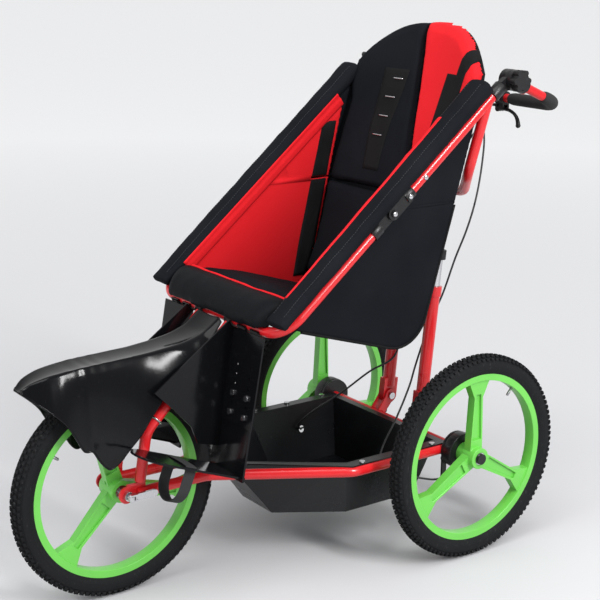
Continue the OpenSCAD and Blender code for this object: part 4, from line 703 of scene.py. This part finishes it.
vinyl = skin_finish("vinyl", (0.0045, 0.005, 0.0065), 0.55, grain=190, depth=0.2, patchiness=0.2, scuffs=0.01,
                    Specular_IOR_Level=0.08)
roll_section = [(-478, 650), (-476, 670), (-484, 686), (-502, 692), (-524, 688), (-543, 676), (-556, 658),
                (-561, 641), (-560, 629), (-557, 627), (-554.5, 633), (-549, 644), (-536, 647), (-515, 643),
                (-495, 644)]
roll_section = smooth_route([Vector((y, z)) for y, z in roll_section + roll_section[:1]], 4)[:-1]
roll_rows, roll_half, roll_straight, roll_rear, roll_mid = 64, 214, 0.78, -478, 660
hem_top, hem_deep, hem_wave = 650, 22, 1.6
roll_verts = []
for i in range(roll_rows + 1):
    u = 2 * i / roll_rows - 1
    full = math.sqrt(max(0.05, 1 - max(0.0, (abs(u) - roll_straight) / (1 - roll_straight)) ** 2.2))
    wave = hem_wave * math.sin(u * 9.0 + 0.6) * full
    for y, z in roll_section:
        low = max(0.0, (hem_top - z) / hem_deep)
        roll_verts.append(at(u * roll_half,
                             roll_rear + (y - roll_rear) * (0.2 + 0.8 * full) - abs(wave) * low,
                             z - (z - roll_mid) * 0.4 * (1 - full) + 8 * (1 - full) * low + wave * low))
front_roll = new_piece("front_roll_cover", roll_verts, loft_faces(roll_rows + 1, len(roll_section)))
even_out(front_roll, 0.0035, 3)
stuff(front_roll, 3.0, 0.003)
crease(front_roll, 0.0012, 0.07, 8.4)
fit(front_roll, vinyl, "seat_frame", "black_fabric", "front_roll")
red_cloth = cloth_finish("red_cloth", (0.70, 0.012, 0.018), fade=0.02, roughness=0.78,
                         Specular_IOR_Level=0.12)
cord_radius = 0.0042
cord_line = line_on(skin_of(front_roll), smooth_route([at(x, -486, 700) for x in range(-196, 197, 28)], 6),
                    Vector((0, 0.1, -1)), 0.4 * cord_radius)
fit(new_tube("front_roll_cord", cord_line, cord_radius, 8), red_cloth, "seat_frame", "red_fabric")

# Side liners
# Red cloth over 8 mm foam, fixed inside the bucket's sides from the sleeves down to the cushion. A strip of
# black loop tape near the rear edge takes the side supports; a red flap covers the cut at the fold.
loop_tape = cloth_finish("loop_tape", (0.006, 0.006, 0.0065), threads=1500.0, fade=0.15, roughness=0.95,
                         depth=0.9, Specular_IOR_Level=0.1)
LINER_IN, LINER_OUT, LINER_UP = 211.6, 219.4, 14


def lay_on(name, skin, left, right, toward, thick, columns=6):
    """A flat strip or patch sewn on a skin between two edge lines, thinning at its own edges."""
    edges = [smooth_route([at(*p) for p in line], 6) for line in (left, right)]
    rows, verts = len(edges[0]), []
    for layer in (1, 0):
        for i in range(rows):
            for j in range(columns + 1):
                hit, normal = touch(skin, edges[0][i].lerp(edges[1][i], j / columns), toward)
                rim = i in (0, rows - 1) or j in (0, columns)
                lift = (thick * (0.55 if rim else 1.0)) if layer else -0.0012
                verts.append(hit + normal * lift)
    return new_piece(name, verts, sheet_faces(rows, columns + 1))


def liner_rear(z):
    return -11.5 - (1089 - z) * 0.212


def rail_at(z, up):
    s = (z - CROSS_TUBE[1] - up * math.cos(RAIL_RISE)) / math.sin(RAIL_RISE)
    return rail(s, up, 0)[1:]


def round_hinge(radius, turns):
    return [(HINGE_Y + radius * math.cos(a), SPLIT_Z + radius * math.sin(a)) for a in turns]


def new_plate(name, outline, x0, x1):
    """A flat cut piece between two x planes, with an outline in y and z."""
    n = len(outline)
    return new_piece(name, [at(x, y, z) for x in (x0, x1) for y, z in outline], loft_faces(2, n))


hinge_clear, flap_clear, patch_round, patch_high = 47, 52, 46.4, 26
liner_cuts = {
    "lower": [rail(66, LINER_UP, 0)[1:], (-330, 634), (-150, 574), (liner_rear(700), 700),
              (liner_rear(800), 800), (liner_rear(866), 866), rail_at(866, LINER_UP)],
    "upper": round_hinge(hinge_clear, spread(math.radians(57), math.radians(1), 8))
             + [(liner_rear(z), z) for z in (867.2, 950, 1044)]}
# Each row of a tape: its height, and the near and far distance from the liner's rear edge.
tape_cuts = {"lower": [(866.3, 11, 58), (800, 10, 59), (740, 9, 60), (690, 8, 60), (616, 8, 58)],
             "upper": [(1008, 13, 55), (960, 12, 56), (910, 12, 57), (866.9, 11, 58)]}
for part, body in (("lower", "seat_frame"), ("upper", "back_frame")):
    for side, sign in SIDES:
        liner = new_plate(f"side_liner_{side}_{part}", liner_cuts[part], sign * LINER_IN, sign * LINER_OUT)
        even_out(liner, 0.004, 2)
        stuff(liner, 2.0, 0.001)
        crease(liner, 0.0004, 0.10, 2.6 + sign)
        fit(liner, red_cloth, body, "red_fabric", f"side_liners_{part}")
        edges = [[(sign * 205, liner_rear(row[0]) - row[k], row[0]) for row in tape_cuts[part]]
                 for k in (2, 1)]
        tape = lay_on(f"loop_tape_{side}_{part}", skin_of(liner), *edges, Vector((sign, 0, 0)), 0.002)
        fit(tape, loop_tape, body, "black_fabric")
flap_rear = liner_rear(SPLIT_Z) - 60
flap_outline = round_hinge(flap_clear, spread(math.radians(57), math.radians(11), 8))
flap_outline += [(flap_rear, 875), (flap_rear, 859), rail_at(859, LINER_UP - 1)]
hinge_disc = [rail(383 + u, min(patch_high, v), 0)[1:] for u, v in oval(patch_round, patch_round, 40)]
for side, sign in SIDES:
    fold_flap = new_plate(f"fold_flap_{side}", flap_outline, sign * (LINER_IN - 1.4), sign * (LINER_IN + 0.4))
    fit(fold_flap, red_cloth, "back_frame", "red_fabric")
    hinge_patch = new_plate(f"hinge_patch_{side}", hinge_disc, sign * (LINER_IN + 0.4), sign * LINER_OUT)
    even_out(hinge_patch, 0.003, 2)
    fit(hinge_patch, red_cloth, "seat_frame", "red_fabric")

# Rail sleeves
# Long padded sleeves of pack cloth, wrapped over the rails and laced underneath. The inner side is faced
# with red cloth, and two rows of stitches hold the padding.
lock_stitch = cloth_finish("lock_stitch", (0.035, 0.035, 0.04), threads=6000.0, fade=0.1, roughness=0.6)
stitch_pitch, stitch_length, stitch_radius = 0.0055, 0.0036, 0.00055
SLEEVE_IN, SLEEVE_OUT, SLEEVE_LOW, SLEEVE_HIGH, SLEEVE_X = 206, 272, 17, 39, 239
sleeve_round, sleeve_mid = (SLEEVE_HIGH - SLEEVE_LOW) / 2, (SLEEVE_HIGH + SLEEVE_LOW) / 2
inner_x, outer_x = SLEEVE_IN + sleeve_round, SLEEVE_OUT - sleeve_round
sleeve_section = [(inner_x - sleeve_round * math.cos(a), sleeve_mid + sleeve_round * math.sin(a))
                  for a in spread(-math.pi / 2, math.pi / 2, 10)]
sleeve_section += [(inner_x + 11 * k, SLEEVE_HIGH + 1.5 * math.sin(math.pi * k / 4)) for k in (1, 2, 3)]
sleeve_section += [(outer_x + sleeve_round * math.cos(a), sleeve_mid + sleeve_round * math.sin(a))
                   for a in spread(math.pi / 2, 0, 5)]
sleeve_section += [(SLEEVE_OUT + 0.8, 23), (SLEEVE_OUT, 19), (SLEEVE_OUT - 3, SLEEVE_LOW)]
sleeve_first, sleeve_last, sleeve_taper, sleeve_rows = 6, 766, 14, 126
sleeve_stops = spread(sleeve_first, sleeve_last, sleeve_rows)
over_rail = Vector((0, math.sin(RAIL_RISE), -math.cos(RAIL_RISE)))
facing_first, facing_last, facing_turn, facing_reach = 70, {1: 636, -1: 672}, {1: 118, -1: 34}, 20
facing_flap = ((206.4, 18), (207.6, 12), (208.6, 6), (209.2, 0))


def stitch_on(name, skin, lines, toward):
    """Rows of lock stitches along a skin, in one mesh."""
    verts, faces = [], []
    for line in lines:
        route = smooth_route([at(*p) for p in line], 24)
        run = 0.0
        for a, b in zip(route, route[1:]):
            run += (b - a).length
            if run < stitch_pitch:
                continue
            run = 0.0
            hit, normal = touch(skin, b, toward)
            along = (b - a).normalized()
            along = (along - normal * along.dot(normal)).normalized()
            side, first = along.cross(normal), len(verts)
            for share, swell in ((-0.5, 0.35), (-0.25, 1.0), (0.25, 1.0), (0.5, 0.35)):
                middle = hit + along * stitch_length * share + normal * stitch_radius * 0.5
                verts += [middle + side * u + normal * v
                          for u, v in oval(stitch_radius * swell, stitch_radius * swell, 6)]
            faces += [tuple(first + k for k in face) for face in loft_faces(4, 6)]
    return new_piece(name, verts, faces)


for side, sign in SIDES:
    verts = []
    for s in sleeve_stops:
        end = min(1.0, (s - sleeve_first + 3) / 16, (sleeve_last - s + 3) / 16)
        full = 0.75 + 0.25 * math.sqrt(1 - (1 - end) ** 2)
        taller = 1 + sleeve_taper * s / sleeve_last / (SLEEVE_HIGH - SLEEVE_LOW)
        verts += [at(*rail(s, sleeve_mid + ((up - SLEEVE_LOW) * taller + SLEEVE_LOW - sleeve_mid) * full,
                           sign * (SLEEVE_X + (x - SLEEVE_X) * (0.6 + 0.4 * full))))
                  for x, up in sleeve_section]
    sleeve = new_piece(f"rail_sleeve_{side}", verts, loft_faces(len(sleeve_stops), len(sleeve_section)))
    even_out(sleeve, 0.0034, 3)
    stuff(sleeve, 4.0, 0.003)
    crease(sleeve, 0.0013, 0.055, 4.3 + sign)
    sleeve_skin = skin_of(sleeve)
    verts, facing_stops = [], [s for s in sleeve_stops if facing_first < s < facing_last[sign]]
    for layer in (0.0011, -0.001):
        for s in facing_stops:
            core = at(*rail(s, sleeve_mid, sign * inner_x))
            for j in range(9):
                turn = math.radians(facing_turn[sign] * (1 - j / 8) - 20 * j / 8)
                way = at(*rail(s, sleeve_mid + facing_reach * math.sin(turn),
                               sign * (inner_x - facing_reach * math.cos(turn)))) - core
                hit, normal = touch(sleeve_skin, core, -way.normalized())
                verts.append(hit + normal * (layer * 0.4 if layer > 0 and j == 0 else layer))
            verts += [at(*rail(s, up, sign * x)) - Vector((sign * layer, 0, 0)) for x, up in facing_flap]
    facing = new_piece(f"sleeve_facing_{side}", verts, sheet_faces(len(facing_stops), 9 + len(facing_flap)))
    stitch_lines = [[rail(s, 62, sign * x) for s in sleeve_stops[3:-3:6]] for x in (222, 259)]
    stitches = stitch_on(f"sleeve_stitches_{side}", sleeve_skin, stitch_lines, over_rail)
    for piece, finish, slot in ((sleeve, pack_cloth, "black_fabric"), (facing, red_cloth, "red_fabric"),
                                (stitches, lock_stitch, "black_fabric")):
        piece.data.materials.append(finish)
        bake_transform(piece)
    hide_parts("rail_pads_lower", "rail_pads_upper")

# Back bucket
# The upper half of the sling: a hollow back panel with rounded shoulders and two short side panels, on the
# folding back frame. Its top edge and the cut at the fold are bound with tape, and a round gusset fills
# each side panel at the hinge.
BACK_TOP, BACK_HALF, BACK_HOLLOW, SHOULDER_Z, SHOULDER_DROP = 1256, 232, 40, 1060, 95
binding_sides, rim_inset = 14, 3


def back_half(z):
    return BACK_HALF if z < SHOULDER_Z else BACK_HALF - 27 * (z - SHOULDER_Z) / (BACK_TOP - SHOULDER_Z)


def back_top(u):
    return BACK_TOP - SHOULDER_DROP * abs(u) ** 3


def back_face(x, z):
    u = x / back_half(z)
    return back_line(z) + BACK_HOLLOW * (1 - u * u) * (z - SPLIT_Z) / (BACK_TOP - SPLIT_Z)


def rim_point(u, z):
    return at(u * (back_half(z) - rim_inset), back_face(u * back_half(z), z) - 1, z - rim_inset)


back_bucket = cover_of("back_shell", "back_bucket", 3)
crease(back_bucket, 0.0012, 0.12, 6.6)
fit(back_bucket, pack_cloth, "back_frame", "black_fabric", "back_shell")
fold_x, fold_z, fold_round = 226, SPLIT_Z + 0.4, 26
fold_path = [at(fold_x, -196 + 15 * k, fold_z) for k in range(12)]
fold_path += [at(fold_x - fold_round * (1 - math.cos(a)),
                 back_line(SPLIT_Z) - 32 + fold_round * math.sin(a), fold_z)
              for a in spread(0, math.pi / 2, 8)]
fold_path += [Vector((-p.x, p.y, p.z)) for p in reversed(fold_path)]
fold_binding = new_piece("fold_binding", *sweep(fold_path, oval(0.0066, 0.005, binding_sides)))
fit(fold_binding, pack_cloth, "back_frame", "black_fabric")
gusset_disc = round_hinge(hinge_clear, spread(0, 2 * math.pi, 40)[:-1])
for side, sign in SIDES:
    gusset = new_plate(f"hinge_gusset_{side}", gusset_disc, sign * 221, sign * 229)
    even_out(gusset, 0.003, 3)
    fit(gusset, pack_cloth, "back_frame", "black_fabric")
rim_rise = spread(1092, 1156, 12)
binding_path = [rim_point(-1, z) for z in rim_rise] + [rim_point(u, back_top(u)) for u in spread(-1, 1, 40)]
binding_path += [rim_point(1, z) for z in reversed(rim_rise)]
back_binding = new_piece("back_binding", *sweep(binding_path, oval(0.0046, 0.0046, binding_sides)))
fit(back_binding, black_tape, "back_frame", "black_fabric")

# Back pads
# Two foam pads sewn to the back panel along one slanting seam: red on the left shoulder, black on the
# right. Webbing is stitched down each, with steel slots for a harness on the right one, and a band
# crosses the headwing.
SEAM_TOP, SEAM_SLANT = (-31, 1254), 0.287
wing_low, wing_rise, wing_share, wing_over = 1050, 60, 0.909, 4.2


def seam_x(z):
    return SEAM_TOP[0] + SEAM_SLANT * (SEAM_TOP[1] - z)


def wing_edge(z):
    """How far out a pad reaches: inside the side panel low down, round the shell's rim at the head."""
    head = min(1.0, max(0.0, (z - wing_low) / wing_rise))
    further = back_half(z) * (1 - wing_share) + wing_over
    return back_half(z) * wing_share + further * head * head * (3 - 2 * head)


def new_back_pad(name, left, right, rim_side):
    """A pad between two edge lines on the back panel, thick in its middle and drawn in along its seams."""
    across, rows, low, skirt, lip, rear, thin, crown = 48, 72, 858, -4.6, 15.5, 12.6, 19, 14
    verts = []
    for layer in (0, 1):
        for i in range(rows + 1):
            for j in range(across + 1):
                t, v, z = j / across, i / rows, 1000
                for settle_pass in range(5):
                    x = left(z) + (right(z) - left(z)) * t
                    z = low + (back_top(x / back_half(z)) - skirt - low) * v
                wide = abs(right(z) - left(z))
                ease = min(1.0, (1 - abs(2 * t - 1)) * wide / 36) * min(1.0, (1 - abs(2 * v - 1)) * 10)
                swell = math.sqrt(max(0.0, 1 - (1 - ease) ** 2))
                outer = (1 - t if rim_side > 0 else t) * wide
                over_rim = max(1 - (1 - v) * rows / 2, (1 - outer / 6) if z > 1085 else 0.0, 0.0)
                depth = rear - lip * over_rim if layer == 0 else thin + crown * swell
                verts.append(at(x, back_face(x, z) - depth, z))
    return new_piece(name, verts, sheet_faces(rows + 1, across + 1))


red_pad = new_back_pad("back_pad_red", lambda z: seam_x(z) + 0.6, wing_edge, 1)
black_pad = new_back_pad("back_pad_black", lambda z: -wing_edge(z), lambda z: seam_x(z) - 0.6, -1)
for pad, finish, slot, node, seed in ((red_pad, red_cloth, "red_fabric", "back_pad_left", 7.7),
                                      (black_pad, pack_cloth, "black_fabric", "back_pad_right", 9.2)):
    even_out(pad, 0.005, 3)
    stuff(pad, 4.0, 0.005)
    crease(pad, 0.0014, 0.10, seed)
    fit(pad, finish, "back_frame", slot, node)
rearward = Vector((0, 1, 0))
red_skin, black_skin = skin_of(red_pad), skin_of(black_pad)
# Each row of a strip: its height, and where its two edges lie.
far_rows = ((1148, -112, -28), (1080, -108, -32), (990, -102, -36), (905, -84, -28))
near_rows = ((1152, 113, 160), (1090, 111, 164), (1030, 109, 168), (960, 107, 172))
strips = [[[(row[k], 0, row[0]) for row in rows] for k in (1, 2)] for rows in (far_rows, near_rows)]
far_strip = lay_on("harness_strip_right", black_skin, *strips[0], rearward, 0.0022, columns=10)
near_strip = lay_on("harness_strip_left", red_skin, *strips[1], rearward, 0.0022, columns=8)
band_edges = [[(x, back_face(x, z) - deep, z) for x, z, deep in edge] for edge in (
    ((172, 1213, 2), (168, 1210, 14), (163, 1198, 30), (157, 1180, 33), (153, 1160, 33), (151, 1130, 33),
     (150, 1090, 33)),
    ((203, 1190, 2), (198, 1187, 14), (192, 1172, 30), (187, 1156, 33), (184, 1138, 33), (182, 1115, 33),
     (180, 1080, 33)))]
wing_band = lay_on("headwing_band", red_skin, *band_edges, None, 0.0028)
for strip in (far_strip, near_strip, wing_band):
    fit(strip, black_tape, "back_frame", "black_fabric")
slot_skin, slot_half, slot_radii = skin_of(far_strip), 17, [0.0008] + [0.0019] * 11 + [0.0008]
for k, (x, z) in enumerate(((-57, 1125), (-66, 1080), (-67, 1034), (-68, 988))):
    slot_places = [at(u, 0, z) for u in spread(x - slot_half, x + slot_half, 12)]
    slot_line = line_on(slot_skin, slot_places, rearward, 0.0012)
    slot_bar = new_tube(f"harness_slot_{k + 1}", slot_line, slot_radii, 8)
    fit(slot_bar, bright_steel, "back_frame", "steel")

# Handlebar
# The same red steel tube as the frame's, bent to a U and pressed at each end into a black moulded knuckle
# with toothed cheeks, so that it can be tilted.
knuckled_bar = skin_finish("knuckled_bar", tube_red, tube_roughness, grain=260, depth=0.02, patchiness=0.12,
                           scuffs=0.05, Specular_IOR_Level=0.3)
bar_tree = knuckled_bar.node_tree
knuckle_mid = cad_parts["handlebar"].matrix_world.inverted() @ at(0, 115, 1146)
knuckle_reach, knuckle_black = 0.0468, (0.009, 0.009, 0.010, 1)
bar_coords = put(bar_tree, "ShaderNodeTexCoord").outputs["Object"]
bar_offset = put(bar_tree, "ShaderNodeVectorMath", {0: bar_coords, 1: tuple(knuckle_mid)},
                 operation="SUBTRACT")
bar_offset = put(bar_tree, "ShaderNodeVectorMath", {0: bar_offset.outputs[0], 1: (0, 1, 1)},
                 operation="MULTIPLY")
bar_far = put(bar_tree, "ShaderNodeVectorMath", {0: bar_offset.outputs[0]}, operation="LENGTH")
in_knuckle = maths(bar_tree, "LESS_THAN", bar_far.outputs["Value"], knuckle_reach)
bar_colour = bar_tree.nodes["Principled BSDF"].inputs["Base Color"]
bar_tone = mix_colours(bar_tree, in_knuckle, bar_colour.links[0].from_socket, knuckle_black)
bar_tree.links.new(bar_tone, bar_colour)
dress("handlebar", knuckled_bar)

# Foam grips
# Black foam sleeves pushed over the bar from each side before the levers go on. Each covers the bend, stops
# short of the lever and is a little rounded at its ends.
foam = skin_finish("foam", (0.013, 0.013, 0.014), 0.85, grain=650, depth=0.5, patchiness=0.25, scuffs=0.0)
bar_place, arm_way, bar_bend = Vector((250, 283, 1076)), Vector((0, -168, 70)) / 182, 50
grip_start, grip_radius, grip_ends = 82, 0.0155, [0.0124, 0.0144, 0.0153]
bend_mid = bar_place + Vector((-bar_bend, 0, 0)) + arm_way * bar_bend
grip_line = [Vector((x, bar_place.y, bar_place.z)) for x in spread(grip_start, bar_place.x - bar_bend, 16)]
grip_line += [bend_mid + Vector((bar_bend * math.sin(a), 0, 0)) - arm_way * bar_bend * math.cos(a)
              for a in spread(0, math.pi / 2, 14)[1:]]
grip_line += [bar_place + arm_way * d for d in (56, 62, 68)]
grip_radii = grip_ends + [grip_radius] * (len(grip_line) - 6) + grip_ends[::-1]
for side, sign in SIDES:
    grip = new_tube(f"foam_grip_{side}", [at(sign * p.x, p.y, p.z) for p in grip_line], grip_radii, 20)
    fit(grip, foam, "handle", "black_rubber", "grips")

# Brake levers
# Satin black cast levers. Each has a round eye on the perch's pivot pin, a blade that curves down and away
# from the bar, and a ball at its tip.
lever_x, lever_y, lever_z = 48, 283, 1049
eye_line = ((-5.8, 0.0071), (-5.2, 0.0077), (5.2, 0.0077), (5.8, 0.0071))
blade_places = ((lever_x, lever_z), (64, 1048.5), (82, 1046), (97, 1040), (107, 1031), (112, 1020),
                (113.5, 1012))
blade_radii = [0.0056 - 0.0014 * math.sin(math.pi * min(1.0, k / 26)) for k in range(31)]
ball_size, ball_turns = 0.0064, spread(0, math.pi, 12)
for side, sign in SIDES:
    eye = tube_form([at(sign * lever_x, lever_y + d, lever_z) for d, radius in eye_line],
                    [radius for d, radius in eye_line], 24)
    blade_line = smooth_route([at(sign * x, lever_y, z) for x, z in blade_places], 5)
    blade = tube_form(blade_line, blade_radii, 16)
    ball = tube_form([blade_line[-1] + Vector((0, 0, ball_size * math.cos(a))) for a in ball_turns],
                     [ball_size * max(0.05, math.sin(a)) for a in ball_turns], 16)
    lever_verts, lever_faces = [], []
    for verts, faces in (eye, blade, ball):
        lever_faces += [tuple(len(lever_verts) + k for k in face) for face in faces]
        lever_verts += verts
    lever = new_piece(f"brake_lever_blade_{side}", lever_verts, lever_faces, sharp=50)
    fit(lever, satin_black, f"brake_lever_{side}", "black_metal", f"brake_lever_{side}")

# Brake cables
# Two black plastic-sheathed steel cables run from the lever barrels down behind the seat, into the tray and
# out again to the brake arms. Clips on the back hoop and the strut hold each one.
cable_sheath = skin_finish("cable_sheath", (0.012, 0.012, 0.014), 0.42, grain=500, depth=0.05)
cable_radius, cable_steps = 0.0025, 10
cable_points = [(31.4, 271.7, 1057), (27, 271.7, 1056.6), (17, 271.4, 1049), (10, 271, 1030), (7, 268, 1003),
                (30, 250, 955), (58, 215, 880), (72, 186, 812), (74, 160, 748), (65, 135, 678),
                (48, 115, 588), (42, 80, 515), (41, 58, 460), (44, 34, 405), (78, -14, 368), (112, -80, 312),
                (146, -150, 262), (165, -176, 230), (178, -160, 208), (194, -144, 203), (214, -104, 192),
                (230, -64, 182), (235, -37.5, 180)]
# Each run: its first and last point, the two bodies it hangs between, and where its bend starts and ends.
cable_runs = (("upper", 0, 7, "handle", "back_frame", (0.0, 0.652, 1.003), (0.0, 0.599, 0.880)),
              ("middle", 7, 11, "back_frame", "seat_frame", (0.0, 0.565, 0.800), (0.0, 0.480, 0.560)),
              ("lower", 11, 20, "seat_frame", "chassis", (0.0, 0.463, 0.513), (0.0, 0.410, 0.400)),
              ("end", 20, 22, "chassis", "brake_arm", (0.214, 0.280, 0.192), (0.235, 0.340, 0.180)))
for side, sign in SIDES:
    route = smooth_route([at(sign * x, y, z) for x, y, z in cable_points], cable_steps)
    for run, first, last, above, below, start, end in cable_runs:
        path = route[first * cable_steps:last * cable_steps + 1]
        cable = new_tube(f"brake_cable_{side}_{run}", path, cable_radius)
        cable.data.materials.append(cable_sheath)
        if run == "end":
            below, start, end = f"{below}_{side}", (sign * start[0], *start[1:]), (sign * end[0], *end[1:])
        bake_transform(cable)
        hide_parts(f"brake_cable_{side}")

# Foot straps
# Loops of 30 mm woven webbing, passed through the footplates' slots and closed by a sewn lap on top of the
# plate. They hang below it until a foot is strapped in.
webbing = cloth_finish("webbing", (0.012, 0.012, 0.013), threads=2100.0, fade=0.12, depth=0.8)
FOOT_SLOPE, FOOT_PLACE = math.radians(-21), (137, -590, 285)


def on_foot(x, y, z):
    """A place measured on the left footplate: across it, along its slope and above it."""
    return at(x, FOOT_PLACE[1] + y * math.cos(FOOT_SLOPE) - z * math.sin(FOOT_SLOPE),
              FOOT_PLACE[2] + y * math.sin(FOOT_SLOPE) + z * math.cos(FOOT_SLOPE))


strap_half, strap_low, strap_high, strap_along = 41.5, -44, 6.4, -143
strap_loop = [(-strap_half, z) for z in (strap_low, -30, -15, 0, 2.5)]
strap_loop += [(-strap_half + 1.2, 5.2), (-strap_half + 4, strap_high)]
strap_loop += [(x, strap_high + 1.4 * math.cos(x / strap_half * 1.57)) for x in range(-30, 31, 10)]
strap_loop += [(-x, z) for x, z in reversed(strap_loop[:7])]
strap_loop += [(strap_half * math.cos(a), strap_low - strap_half * math.sin(a))
               for a in spread(0, math.pi, 18)[1:-1]]
strap_edge = [(-14.6, 0.0), (-14.2, 0.8), (-13.0, 1.0), (-6, 1.0), (0, 1.0), (6, 1.0), (13.0, 1.0),
              (14.2, 0.8), (14.6, 0.0)]
strap_edge += [(w, -t) for w, t in reversed(strap_edge[1:-1])]
for side, sign in SIDES:
    verts, count = [], len(strap_loop)
    for i, (x, z) in enumerate(strap_loop):
        (ahead_x, ahead_z), (behind_x, behind_z) = strap_loop[(i + 1) % count], strap_loop[i - 1]
        way = Vector((ahead_x - behind_x, ahead_z - behind_z)).normalized()
        verts += [on_foot(sign * (FOOT_PLACE[0] + x + way.y * t), strap_along + w, z - way.x * t)
                  for w, t in strap_edge]
    strap = new_piece(f"foot_strap_{side}", verts, loft_faces(count, len(strap_edge), closed=True))
    fit(strap, webbing, "chassis", "black_fabric", "foot_straps")
